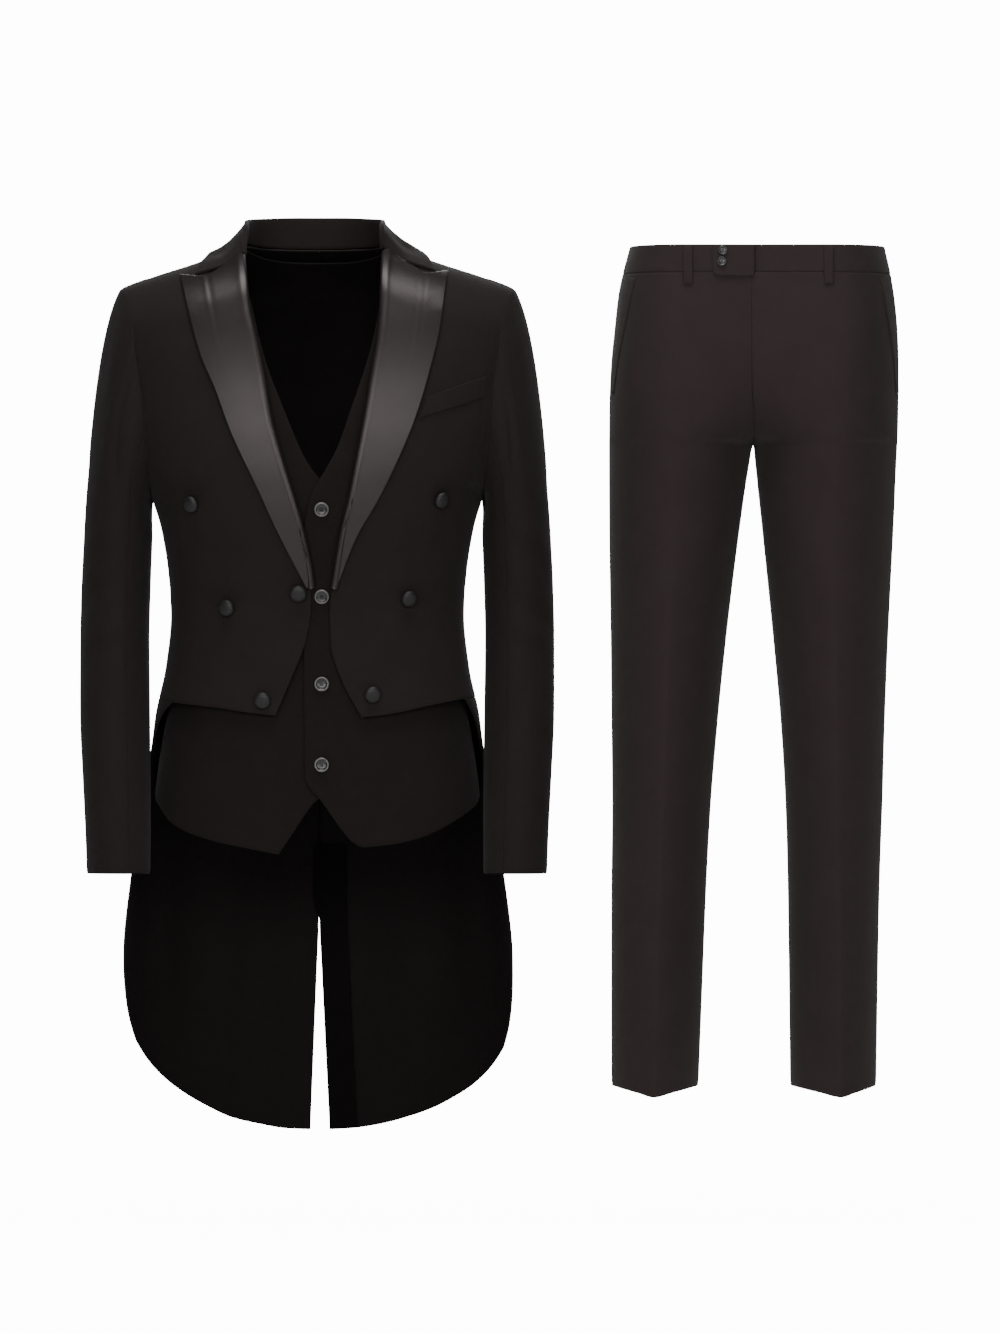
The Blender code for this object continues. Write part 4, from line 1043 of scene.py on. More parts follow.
# distance round the cloth from the sleeve's outer line to the front, z, and so on as before
SLEEVE_CREASES = {
    "R": (
        (120, -120, 92, -300, 8, 12, -2.6),
        (52, -70, 78, -190, -5, 14, -1.5),
        (140, -330, 30, -372, -8, 11, -2.0),
        (136, -372, 12, -442, 8, 12, -1.6),
        (128, -452, 40, -478, -6, 10, -1.6),
        (-20, -420, -120, -380, 6, 14, -1.8),
        (122, -520, 20, -570, 8, 14, -1.1),
        (104, -610, 34, -664, -7, 13, -0.9),
        (-40, -560, -110, -500, 6, 16, -1.2),
        (10, -250, -70, -360, 8, 18, -1.1),
    ),
    "L": (
        (122, -130, 90, -305, -8, 12, -2.4),
        (50, -76, 82, -200, 5, 15, -1.4),
        (142, -340, 34, -386, 8, 12, -1.9),
        (134, -386, 20, -450, -7, 11, -1.7),
        (126, -462, 44, -492, 6, 10, -1.4),
        (-24, -432, -118, -386, -6, 14, -1.7),
        (120, -532, 26, -588, -8, 13, -1.2),
        (102, -624, 40, -672, 6, 13, -0.9),
        (-44, -572, -112, -508, -6, 15, -1.2),
        (6, -262, -66, -370, -7, 18, -1.1),
    ),
}
UNDER_ARM = 170.0  # from the middle of the top sleeve round to the middle of the under sleeve
SLEEVE_SEAM = SEAM + 0.05
TUBE_SEWN = (True, False, True, True)  # a sleeve and a leg are free only at their lower edge
for side in "RL":
    points, outward = sleeve(side)
    count = points.shape[1]
    first, last = SLEEVE_SEAMS
    over = [c % count for c in range(last, last + count - (last - first) + 1)]
    under = list(range(first, last + 1))
    for name, picks in (("sleeve_top", over), ("sleeve_under", under)):
        part, lean = points[:, picks].copy(), outward[:, picks]
        lengths = np.linalg.norm(np.diff(part, axis=1), axis=-1)
        round_arm = np.concatenate([np.zeros((len(part), 1)), np.cumsum(lengths, axis=1)], axis=1)
        round_arm -= round_arm[:, -1:] / 2
        if name == "sleeve_under":
            round_arm = UNDER_ARM - round_arm
        part = pressed(part, lean, round_arm, SLEEVE_CREASES[side], TUBE_SEWN)
        for c, n in ((0, 1), (-1, -2)):
            step = part[:, n] - part[:, c]
            part[:, c] += step / np.linalg.norm(step, axis=1, keepdims=True) * SLEEVE_SEAM
        if name == "sleeve_under":
            for far_seam in (False, True):
                part, lean = tucked(part, lean, 1, far_seam)
        piece, node = f"{name}_cloth_{side}", f"{name}_{side}"
        cloth(piece, node, "wool", part, lean, CLOTH_WALL, "lining")

# %% [markdown]
# ## Lapels and collar
#
# A lapel is the front's own edge turned back over the chest and faced with satin. It rolls round a
# soft fold, not a pressed one, so the cloth first rises off the front and then lies down on it. The
# peak points up and out. The collar goes round the neck as a stand with a fall over it.

# %% Roll the lapels
# x, z along the lapel's outer edge from the tip of the peak to the closure
LAPEL_EDGE = {
    "R": (
        (-157.5, -43.5),
        (-150.5, -73),
        (-133, -136),
        (-116.6, -174),
        (-98, -224),
        (-66.7, -290),
        (-43.5, -340),
        (-10.5, -404),
    ),
    "L": (
        (151, -38.5),
        (148.5, -57),
        (143, -100),
        (128.5, -161),
        (113, -211),
        (93.4, -257.5),
        (70.2, -304),
        (46, -345.7),
        (23, -404),
    ),
}
# x, z along the lapel's upper edge from the roll line to the tip
LAPEL_TOP = {
    "R": ((-84.5, -20), (-97, -30), (-111, -38.5), (-128, -46), (-157.5, -43.5)),
    "L": ((75, -15), (90, -24.5), (109.6, -35.5), (123, -42.5), (151, -38.5)),
}
# the lapel's rise off the front: shift along the cloth, height over it
LAPEL_ROLL = ((1.4, -1.9), (-0.5, -0.7), (-1.2, 1.6), (0.6, 4.3), (5.0, 6.0))
LAPEL_LIFT, LAPEL_WALL = 3.9, 1.8


def on_front(form, x, z, lift, seam_y=SHOULDER_Y, behind=False):
    """Points at x, z lifted off the body, and the way it faces there."""

    def surface(x, z):
        return body(form, angle_of(form, x, z, behind), z, seam_y)

    x, z = np.asarray(x, float), np.asarray(z, float)
    normal = facing(surface, x, z, 0.4, 0.4) * (-1 if behind else 1)
    return surface(x, z) + normal * (np.asarray(lift, float) + 0 * x)[..., None], normal


def lapel(side):
    """The outer points of a lapel: a roll at the front's edge, then a leaf over the chest."""
    s = sign(side)
    v, u = np.linspace(0, 1, 25), np.linspace(0, 1, 11)
    top = along(LAPEL_TOP[side], u)
    z = spread(top[0, 1], -404, 25, 1.2)
    roll = np.stack([column(FRONT_EDGE[side], 1, z), z], axis=-1)
    edge = along(LAPEL_EDGE[side], v**1.2)
    foot = roll[-1] + (edge[-1] - roll[-1]) * u[:, None]
    top[0], top[-1] = roll[0], edge[0]
    flat = patch(roll, edge, top, foot, v, u)
    down = np.gradient(roll, axis=0)
    out = np.stack([-down[:, 1], down[:, 0]], axis=-1) * s
    out /= np.linalg.norm(out, axis=1, keepdims=True)
    wide = np.linalg.norm(edge - roll, axis=1)
    near = np.clip(wide / 60, 0.25, 1)
    leaf = []
    for shift, height in LAPEL_ROLL:
        at = roll + out * shift
        leaf.append(on_front(COAT, at[:, 0], at[:, 1], height)[0])
    for k in range(1, 11):
        x = flat[:, k, 0] + s * 5 * (1 - k / 10) * near
        lift = LAPEL_LIFT + 2.2 * np.exp(-k / 10 * wide / 26)
        leaf.append(on_front(COAT, x, flat[:, k, 1], lift)[0])
    return np.stack(leaf, axis=1)


for side in "RL":
    coarse = lapel(side)
    points = fine(coarse, 4, 4)
    outward = grid_normals(points) * -sign(side)
    name, node = f"satin_lapel_{side}", f"lapel_{side}"
    cloth(name, node, "satin", points, outward, LAPEL_WALL)

# %% Fold the collar
# the collar's front stations: the fold's distance from the middle and z, the fall's middle
# and its edge as distance and z, and the z of the stand's edge
COLLAR_FRONT = {
    "R": (
        (84.5, -16.5, (111, -35.6), (141, -43), -16.5),
        (84, 1, (110, -25), (139, -36), -12),
        (83, 13, (107, -16), (134, -29), -8),
    ),
    "L": (
        (76, -8.5, (106, -30.5), (136, -38.6), -10),
        (75.5, 4, (104, -23.5), (136, -33.5), -9),
        (75, 14, (101, -15), (132, -29), -7),
    ),
}
# and those behind: the fold, the fall's edge and the stand's edge, as distance, y and z,
# and how far the fall's middle swells
COLLAR_BACK = (
    ((82, 12, 23), (122, 14, -13), (84, 11, -3.4), -3.0),
    ((74, 40, 25.5), (101, 57, -19), (72, 40, -6), 1.5),
    ((53, 60, 27), (70, 80, -20), (50, 57.5, -7.6), 3.2),
    ((27, 70, 28), (35, 90, -21), (25, 65.5, -8.2), 3.2),
    ((0, 73, 28), (0, 93, -21), (0, 68, -8.4), 3.2),
)
COLLAR_WALL, COLLAR_ROUND = 2.0, 3.4
NECK_LEAN = {"R": 1.0, "L": 0.93}  # the fold stands nearer to the neck on this side


def collar_stations(side):
    """Stations of half a collar: stand's edge, fold, middle of the fall, fall's edge."""
    s = sign(side)
    stations = []
    for fold_x, fold_z, middle, edge, stand_z in COLLAR_FRONT[side]:
        stand = on_front(COAT, s * (fold_x - 1.0), stand_z, -0.6)[0]
        below = on_front(COAT, s * fold_x, min(fold_z, stand_z), 0)[0]
        fold = np.array([s * fold_x, below[1] - 4.5, fold_z])
        middle = on_front(COAT, s * middle[0], middle[1], 5.2)[0]
        edge = on_front(COAT, s * edge[0], edge[1], 3.4)[0]
        stations.append((stand, fold, middle, edge))
    for fold, edge, stand, swell in COLLAR_BACK:
        fold, edge, stand = (np.array(p, float) * [s, 1, 1] for p in (fold, edge, stand))
        fold[0] *= NECK_LEAN[side]
        out = (edge - fold) * [1, 1, 0]
        middle = (fold + edge) / 2 + (out / np.linalg.norm(out) + [0, 0, 0.5]) * swell
        stations.append((stand, fold, middle, edge))
    return stations


def collar():
    """The outer points of the collar, from the stand's lower edge over the fold to the fall's edge."""
    stations = collar_stations("R") + collar_stations("L")[-2::-1]
    share = np.linspace(0, 1, 21)
    stand, fold, middle, edge = (along([row[k] for row in stations], share) for k in range(4))
    rows = []
    for g, f, m, e in zip(stand, fold, middle, edge):
        out = (m - f) * [1, 1, 0]
        out *= COLLAR_ROUND / np.linalg.norm(out)
        down = np.array([0, 0, COLLAR_ROUND])
        near, far = f - out - down, f + out - down
        rows.append([g, near, f - out * 0.6, f + out * 0.6, far, m, (m + e) / 2, e])
    return np.array(rows)


points = fine(collar(), 8, 6)
outward = -grid_normals(points)
cloth("collar_cloth", "collar", "wool", points, outward, COLLAR_WALL)

# %% [markdown]
# ## Breast welt and covered buttons
#
# The welt is a narrow band of the same wool over the chest pocket. The coat's buttons are moulds
# covered in satin, so each is a soft dome with a gathered underside, spun from a profile. They are
# seated on the finished cloth by looking for where it lies.

# %% Sew on the welt
WELT = ((118.5, -209), (193, -184.5))  # the breast welt's lower corners
WELT_HIGH, WELT_LIFT, WELT_WALL = 25.0, 2.4, 1.6
(x0, z0), (x1, z1) = WELT
u, v = np.meshgrid(np.linspace(0, 1, 6), np.linspace(0, 1, 3))
x, z = x0 + (x1 - x0) * u + (9.0 - 6.0 * u) * v, z0 + (z1 - z0) * u + WELT_HIGH * v
grid = fine(np.stack([angle_of(COAT, x, z), z], axis=-1), 8, 8)
points, outward = on_body(COAT, grid, SHOULDER_Y, np.full(grid.shape[:2], WELT_LIFT))
under = [fronts["L"]]
cloth("welt_cloth", "breast_welt", "wool", points, outward, WELT_WALL)


# %% Spin the covered buttons
def seat(made, x, z, lift):
    """A place on a finished sheet, seen from the front, and the way the cloth faces there."""
    _, at, normal, _ = made.ray_cast(Vector((x, -1000, z)) * MM, Vector((0, 1, 0)))
    return np.array(at) / MM + np.array(normal) * lift, np.array(normal)


def spun(profile, turns):
    """A closed round shape from a profile of (radius, height) in mm."""
    bm = bmesh.new()
    verts = [bm.verts.new((r * MM, 0, h * MM)) for r, h in profile]
    edges = [bm.edges.new(pair) for pair in zip(verts, verts[1:])]
    bmesh.ops.spin(
        bm,
        geom=verts + edges,
        cent=(0, 0, 0),
        axis=(0, 0, 1),
        angle=2 * math.pi,
        steps=turns,
        use_merge=True,
    )
    bmesh.ops.remove_doubles(bm, verts=bm.verts, dist=2e-6)
    bmesh.ops.recalc_face_normals(bm, faces=bm.faces)
    return bm


def finished(bm, name, node, material, at, axis, rim=None):
    """Sets a small piece on its seat. Its mesh is moved, so the object stays at the origin."""
    turn = Vector(axis).to_track_quat("Z", "Y").to_matrix().to_4x4()
    bmesh.ops.transform(bm, matrix=Matrix.Translation(Vector(at) * MM) @ turn, verts=bm.verts)
    mesh = bpy.data.meshes.new(name)
    bm.to_mesh(mesh)
    bm.free()
    mesh.materials.append(material)
    if rim:
        mesh.materials.append(rim)
    mesh.shade_smooth()
    mesh.set_sharp_from_angle(angle=math.radians(60))
    made = placed(name, mesh)
    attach(made, "root")
    if node:
        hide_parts(node)
    return made


def curve_through(profile, parts):
    """More points on the smooth curve through a profile."""
    lengths = np.append(0, np.cumsum(np.linalg.norm(np.diff(profile, axis=0), axis=1)))
    share = np.linspace(0, 1, (len(profile) - 1) * parts + 1)
    return along(profile, share) if lengths[-1] else profile


# x, z of each covered button, and 1 where it faces further down
BUTTONS = {
    "R": ((-142, -307, 0), (-101.5, -427, 0), (-60.9, -533, 1), (-20.3, -409.5, 0)),
    "L": ((142, -302, 0), (105, -415, 0), (64.4, -526, 1)),
}
# radius, height of a covered button on its shank
DOME = ((0, 0), (2.4, 0), (2.4, 2.6), (8.0, 2.9), (9.9, 4.8), (8.6, 7.6), (4.8, 9.2), (0, 9.6))
COVERED = [tuple(p) for p in curve_through(DOME[2:], 4)]
GATHERS, GATHER_DEPTH = 14, 0.05  # the satin is gathered round the underside
DROOP, TILT = 0.12, 0.2  # each button faces a little down, and the lowest of a row faces further
for side in "RL":
    for i, (x, z, tilt) in enumerate(BUTTONS[side], 1):
        at, normal = seat(fronts[side], x, z, 0.5)
        bm = spun([(0, 0), (2.4, 0)] + COVERED, 40)
        for vert in bm.verts:
            gather = math.atan2(vert.co.y, vert.co.x)
            low = max(0.0, 1 - vert.co.z / (5.2 * MM)) * min(1.0, vert.co.z / (2.6 * MM))
            vert.co.xy *= 1 + GATHER_DEPTH * low * math.sin(gather * GATHERS)
        name, node = f"covered_button_{side}{i}", f"coat_button_{side}{i}"
        way = normal - [0, 0, DROOP + TILT * tilt]
        finished(bm, name, node, COVERED_SATIN, at, way)
print("covered buttons:", len(BUTTONS["R"]) + len(BUTTONS["L"]))

# %% [markdown]
# ## The waistcoat
#
# The waistcoat has two fronts and a back. Its V runs down to the top button, the left front laps
# the right one, and the hem falls to two points. It fits closer than the coat, so its rings are
# some ten millimetres smaller all round.

# %% Cut the waistcoat
# z, x down the waistcoat's V and front edge
WAISTCOAT_EDGE = {
    "R": (
        (-14, -90),
        (-45, -82),
        (-80, -74.5),
        (-139, -59.7),
        (-168, -49.3),
        (-212, -31.5),
        (-250, -15.5),
        (-284, 2.9),
        (-306, 13),
        (-420, 13),
        (-634, 13),
    ),
    "L": (
        (-14, 86),
        (-45, 79),
        (-80, 73),
        (-123, 64.4),
        (-184, 45),
        (-250, 21.5),
        (-284, 2.9),
        (-306, -13.5),
        (-420, -14.5),
        (-626, -12.6),
    ),
}
# x, z along the waistcoat's pointed hem from the front edge to the side seam
WAISTCOAT_HEM = {
    "R": (
        (13, -634),
        (-3, -652),
        (-24, -682),
        (-43.5, -711),
        (-66.7, -706.5),
        (-124.7, -694),
        (-166, -677),
        (-184, -655),
    ),
    "L": (
        (-12.6, -626),
        (2.9, -646),
        (22.6, -673),
        (41.2, -696),
        (52.8, -703),
        (87.6, -699.5),
        (119, -692.5),
        (145.6, -681),
        (166, -669),
        (184, -655),
    ),
}
WAISTCOAT_SIDE_Z, WAISTCOAT_BACK_Z = -640.0, -634.0
WAISTCOAT_ARM_FRONT = ((166, -46), (161, -90), (154, -150), (153, -210), (160, -268), (168, -312))
WAISTCOAT_ARM_BACK = ((166, -46), (163, -100), (160, -170), (161, -230), (166, -285), (169, -316))
WAISTCOAT_ARM_BOTTOM = -334.0
WAISTCOAT_NECK = (88.0, -24.0)  # the back neck's corner from the middle, and its depth
WAISTCOAT_LAP = 3.6  # how far the L front stands off the R front that it laps
LAP_EDGE, LAP_FADE = 26.0, 40.0  # it stands off up to here from the middle, then fades out
LAP_TOP, LAP_RISE = -236.0, 30.0  # and it starts at this z, over this much
WAISTCOAT_COLUMNS = 12
# x, z of each button
WAISTCOAT_BUTTONS = ((6.4, -314), (6.4, -414), (6.4, -515), (6.4, -608))


def waistcoat_front(side):
    s = sign(side)
    edge = WAISTCOAT_EDGE[side]
    low, high = edge[-1][0], column(SHOULDER, 1, abs(edge[0][1])) - WAISTCOAT[1]

    def inner(share):
        z = low + (high - low) * share
        return np.stack([angle_of(WAISTCOAT, column(edge, 1, z), z), z], axis=-1)

    loop = armhole(WAISTCOAT, side, WAISTCOAT_ARM_FRONT, WAISTCOAT_ARM_BOTTOM, False)
    hem = np.vstack([places(WAISTCOAT, WAISTCOAT_HEM[side]), [loop[0, 0], WAISTCOAT_SIDE_Z]])
    hem[0] = inner(np.array([0.0]))[0]
    u = np.linspace(0, 1, WAISTCOAT_COLUMNS)
    across = spread(edge[0][1], s * WAISTCOAT_ARM_FRONT[0][0], WAISTCOAT_COLUMNS)
    top = shoulder(WAISTCOAT, across, False)
    return panel(inner, along(hem * ROUND, u) / ROUND, WAISTCOAT_SIDE_Z, loop, top, 7)


def waistcoat_back():
    """(angle, z) of the whole waistcoat back, from the L side seam to the R one."""

    def inner(share):
        z = WAISTCOAT_BACK_Z + (WAISTCOAT_NECK[1] - WAISTCOAT_BACK_Z) * share
        return np.stack([0 * z + math.pi, z], axis=-1)

    loop = armhole(WAISTCOAT, "L", WAISTCOAT_ARM_BACK, WAISTCOAT_ARM_BOTTOM, True)
    angle = math.pi + (loop[0, 0] - math.pi) * np.linspace(0, 1, 8) ** BACK_POWER
    hem = np.stack([angle, np.linspace(WAISTCOAT_BACK_Z, WAISTCOAT_SIDE_Z, 8)], axis=-1)
    x = np.array([0.01, 30, 60, WAISTCOAT_NECK[0], 106, 125, 145, WAISTCOAT_ARM_BACK[0][0]])
    top = shoulder(WAISTCOAT, x, True, WAISTCOAT_NECK)
    half = panel(inner, hem, WAISTCOAT_SIDE_Z, loop, top, 6, BACK_POWER)
    half[:, 0, 0] = math.pi
    other = half[:, 1:] * [-1, 1] + [2 * math.pi, 0]
    return np.concatenate([half[:, ::-1], other], axis=1)


WAISTCOAT_CREASES = {
    "R": (
        (-150, -420, -40, -436, 5, 14, -1.3),
        (-138, -520, -24, -500, -6, 15, -1.2),
        (-120, -600, -30, -640, 6, 18, -1.0),
        (-60, -560, -56, -690, 4, 20, 0.9),
    ),
    "L": (
        (148, -414, 40, -432, -5, 14, -1.3),
        (140, -526, 30, -506, 6, 15, -1.2),
        (124, -598, 40, -636, -6, 18, -1.0),
        (66, -566, 58, -680, -4, 20, 0.9),
    ),
}
HEM_POINT = {"R": 3, "L": 4}  # the table's place for the point of the hem
POINT_COLUMN = 4  # the patch's column that runs down to it


def hem_line(side, grid, at):
    """The hem's own line with its sharp point, read at the sheet's columns."""
    path = np.vstack([places(WAISTCOAT, WAISTCOAT_HEM[side]), grid[0, -1]])
    path[0] = grid[0, 0]
    path = path * ROUND
    lengths = np.append(0, np.cumsum(np.linalg.norm(np.diff(path, axis=0), axis=1)))
    at = at / at[-1] * lengths[-1]
    line = [drawn_through(lengths, path[:, k], at, HEM_POINT[side]) for k in (0, 1)]
    return np.stack(line, axis=-1) / ROUND


vests = {}
for side in "RL":
    coarse = waistcoat_front(side)
    grid = fine(coarse, 9, 7, corner=POINT_COLUMN)
    fade = np.clip(1 - steps(len(coarse), 9), 0, 1) ** 2
    hem = hem_line(side, grid, steps(WAISTCOAT_COLUMNS, 7))
    grid = grid + (hem - grid[0]) * fade[:, None, None]
    lift = np.zeros(grid.shape[:2])
    if side == "L":
        x = body(WAISTCOAT, grid[..., 0], grid[..., 1])[..., 0]
        near = np.clip((LAP_EDGE + LAP_FADE - x) / LAP_FADE, 0, 1)
        lift = WAISTCOAT_LAP * near * np.clip((LAP_TOP - grid[..., 1]) / LAP_RISE, 0, 1)
    points, outward = on_body(WAISTCOAT, grid, SHOULDER_Y - SHOULDER_GAP, lift)
    points = pressed(points, outward, points[..., 0], WAISTCOAT_CREASES[side])
    points, outward = tucked(points, outward, 1, True, below_armhole(len(coarse), 9, 6))
    points, outward = tucked(points, outward, 0, True)
    name, node = f"vest_front_{side}", f"waistcoat_front_{side}"
    vests[side] = cloth(name, node, "waistcoat_wool", points, outward, CLOTH_WALL, "lining")

points, outward = on_body(WAISTCOAT, fine(waistcoat_back(), 9, 6), SHOULDER_Y + SHOULDER_GAP)
points = pressed(points, outward, points[..., 0], BACK_CREASES["R"][1:3] + BACK_CREASES["L"][1:3])
cloth("vest_back", "waistcoat_back", "waistcoat_wool", points, outward, CLOTH_WALL, "lining")

# %% [markdown]
# The waistcoat's buttons are flat discs with a raised rim and four holes, sewn through with thread.
# The rim and underside are spun, and the middle is a plate filled between the rim and the holes.

# %% Turn the rimmed buttons
# radius, height of a button's underside and raised rim
RIM = (
    (0, 0),
    (7.2, 0),
    (8.2, 0.5),
    (8.6, 1.3),
    (8.5, 2.4),
    (8.1, 3.1),
    (7.4, 3.4),
    (6.6, 3.2),
    (5.9, 2.6),
    (5.2, 2.1),
)
PAINTED_HIGHLIGHT_FROM = (6.6, 1.0)  # the radius and height past which the rim gets the painted highlight colour
HOLE_RADIUS, HOLE_PLACE, HOLE_DEPTH, PLATE_Z = 0.85, 1.55, 1.5, 2.1
BAR_RADIUS, BAR_LENGTH, BAR_RISE = 0.42, 3.2, 0.2


def rimmed_button(size, turns=32):
    bm = spun([(r * size, h * size) for r, h in RIM], turns)
    for face in bm.faces:
        at = face.calc_center_median() / (size * MM)
        # faces on the raised rim get the second material, the painted highlight
        face.material_index = int(at.xy.length > PAINTED_HIGHLIGHT_FROM[0] and at.z > PAINTED_HIGHLIGHT_FROM[1])
    edge = [e for e in bm.edges if e.is_boundary]
    rings = list(edge)
    for k in range(4):
        angle = math.pi / 4 + k * math.pi / 2
        centre = Vector((math.cos(angle) * HOLE_PLACE, math.sin(angle) * HOLE_PLACE, PLATE_Z))
        place = Matrix.Translation(centre * size * MM)
        made = bmesh.ops.create_circle(bm, segments=10, radius=HOLE_RADIUS * size * MM, matrix=place)
        hole = {e for v in made["verts"] for e in v.link_edges}
        down = bmesh.ops.extrude_edge_only(bm, edges=list(hole))["geom"]
        low = [g for g in down if isinstance(g, bmesh.types.BMVert)]
        bmesh.ops.translate(bm, verts=low, vec=(0, 0, -HOLE_DEPTH * size * MM))
        sides = [g for g in down if isinstance(g, bmesh.types.BMEdge)]
        foot = [e for e in sides if e.verts[0] in low and e.verts[1] in low]
        bmesh.ops.contextual_create(bm, geom=foot)
        rings += list(hole)
    bmesh.ops.triangle_fill(bm, use_beauty=True, use_dissolve=False, edges=rings)
    bmesh.ops.recalc_face_normals(bm, faces=bm.faces)
    return bm


def thread_bars(size):
    """Two bars of thread, each from hole to hole."""
    bm = bmesh.new()
    radius, length = BAR_RADIUS * size * MM, BAR_LENGTH * size * MM
    turn = Matrix.Rotation(math.pi / 2, 4, "Y")
    for way in (-1, 1):
        made = bmesh.ops.create_cone(
            bm, cap_ends=True, segments=8, radius1=radius, radius2=radius, depth=length
        )
        centre = Vector((0, way * HOLE_PLACE * 0.707, PLATE_Z + BAR_RISE))
        place = Matrix.Translation(centre * size * MM)
        bmesh.ops.transform(bm, matrix=place @ turn, verts=made["verts"])
    return bm


def sew_on(names, node, size, at, normal, rim=None):
    """Sets a button on its seat, with the thread that holds it."""
    button, thread = names
    finished(rimmed_button(size), button, node, HORN, at, normal, rim)
    finished(thread_bars(size), thread, None, THREAD, at, normal)


for i, (x, z) in enumerate(WAISTCOAT_BUTTONS, 1):
    at, normal = seat(vests["L"], x, z, 0.6)
    names = (f"rimmed_button_{i}", f"button_thread_{i}")
    sew_on(names, f"waistcoat_button_{i}", 1.0, at, normal, RIM_PAINTED_HIGHLIGHT)
print("waistcoat buttons:", len(WAISTCOAT_BUTTONS))

# %% [markdown]
# ## The trousers
#
# Each leg is two panels, a front and a back, with an outseam, an inseam and a pressed crease down
# the middle of each. A leg's section is a lens: round at the hips, and drawn to a sharp line at the
# crease further down. The hem is cut so that it dips at the crease.

# %% Cut the legs
TROUSERS_X = 505.2  # the trousers' crotch, beside the coat
# z, distance from the crotch line to the outseam, and to the inseam: less than nothing above the crotch
TROUSERS = {
    "R": (
        (-8, 143, -143),
        (-39, 151.2, -150),
        (-66, 156.6, -153),
        (-104, 160.8, -150),
        (-143, 164.6, -132),
        (-195, 166.8, -72),
        (-222, 167, -24),
        (-239, 167.2, 0.3),
        (-259, 167.2, 4.2),
        (-324, 167, 14),
        (-476, 165, 32.6),
        (-564, 164.2, 41.4),
        (-659, 163.4, 49.2),
        (-756, 164.4, 54.4),
        (-862, 164.5, 58.6),
        (-985, 164.3, 63.4),
    ),
    "L": (
        (-8, 152.5, -152.5),
        (-39, 159.5, -159),
        (-73, 164.8, -160),
        (-104, 167.6, -153),
        (-143, 168.9, -134),
        (-195, 168.6, -72),
        (-222, 168, -24),
        (-239, 167.2, 0.3),
        (-259, 166.2, 2.4),
        (-324, 163.4, 9.2),
        (-476, 156, 24.6),
        (-564, 152.6, 32.4),
        (-651, 150.2, 37.4),
        (-722, 147.6, 39.6),
        (-792, 145.8, 40.8),
        (-985, 142.8, 43),
    ),
}
# z, depth in front, depth behind, sharpness of the crease (2 is round), and the crease's
# distance from the crotch line on R and on L
CREASE = (
    (-8, 110, 112, 2.3, 78, 84),
    (-44, 114, 117, 2.3, 80, 86),
    (-120, 124, 138, 2.25, 84, 90),
    (-180, 127, 150, 2.1, 87, 91),
    (-239, 124, 146, 1.9, 90, 92),
    (-320, 117, 134, 1.65, 92, 92),
    (-476, 107, 114, 1.45, 100, 93),
    (-620, 101, 105, 1.35, 105, 95),
    (-760, 96, 100, 1.3, 110, 97),
    (-985, 89, 95, 1.26, 116, 100),
)
BAND_TOP, BAND_BOTTOM = -8.0, -40.0
HEM_SIDE, HEM_TIP, HEM_BACK = -980.0, -992.0, -983.0
FLY_LAP = 3.5  # the L front's edge passes the crotch line by this much
FLY_FOOT, FLY_RUN = -215.0, 40.0  # the lap starts at this z and is whole this much higher
FLY_NEAR, FLY_LIFT = 14.0, 1.1  # this near its edge the lapped cloth rises, by up to this much


def leg(side, w, z, behind):
    """Points of a trouser leg: w is -1 at the inseam, 0 on the crease and 1 at the outseam."""
    s = sign(side)
    outer, inner = column(TROUSERS[side], 1, z), column(TROUSERS[side], 2, z)
    crease = column(CREASE, 4 if side == "R" else 5, z)
    depth = column(CREASE, 2 if behind else 1, z)
    sharp = column(CREASE, 3, z)
    share = np.clip(np.sin(np.abs(w) * math.pi / 2), 0, 1)
    x = crease + np.where(w > 0, (outer - crease) * share, (inner - crease) * share)
    y = depth * np.sqrt(np.clip(1 - share**sharp, 0, 1)) * (1 if behind else -1)
    return np.stack([TROUSERS_X + s * x, y, z + 0 * x], axis=-1)


def inner_w(side, z, lap=0.0):
    """The w where a leg meets the crotch line, or its inseam below the crotch."""
    inner = column(TROUSERS[side], 2, z)
    crease = column(CREASE, 4 if side == "R" else 5, z)
    share = np.clip((crease - lap) / np.maximum(crease - inner, 1e-6), 0, 1)
    return -np.arcsin(share) / (math.pi / 2)


def leg_points(side, behind, w, z, lift=0.0):
    """Points and normals on a leg at a grid of w and z, with a gap between front and back."""
    s = sign(side)
    step_w, step_z = 0.01, 0.4
    ahead, back = np.clip(w + step_w, -1, 1), np.clip(w - step_w, -1, 1)
    along_w = leg(side, ahead, z, behind) - leg(side, back, z, behind)
    along_z = leg(side, w, z + step_z, behind) - leg(side, w, z - step_z, behind)
    normal = np.cross(along_w, along_z) * s * (-1 if behind else 1)
    normal /= np.linalg.norm(normal, axis=-1, keepdims=True)
    points = leg(side, w, z, behind)
    points[..., 1] += SEAM if behind else -SEAM
    return points + normal * np.asarray(lift)[..., None], normal


def trouser_rows():
    hips = [BAND_BOTTOM - WAIST_GAP, -76, -118, -158, -190, -213, -230, -240]
    return np.array(hips + [-254, -282, -335, -420, -540, -690, -840, HEM_SIDE])


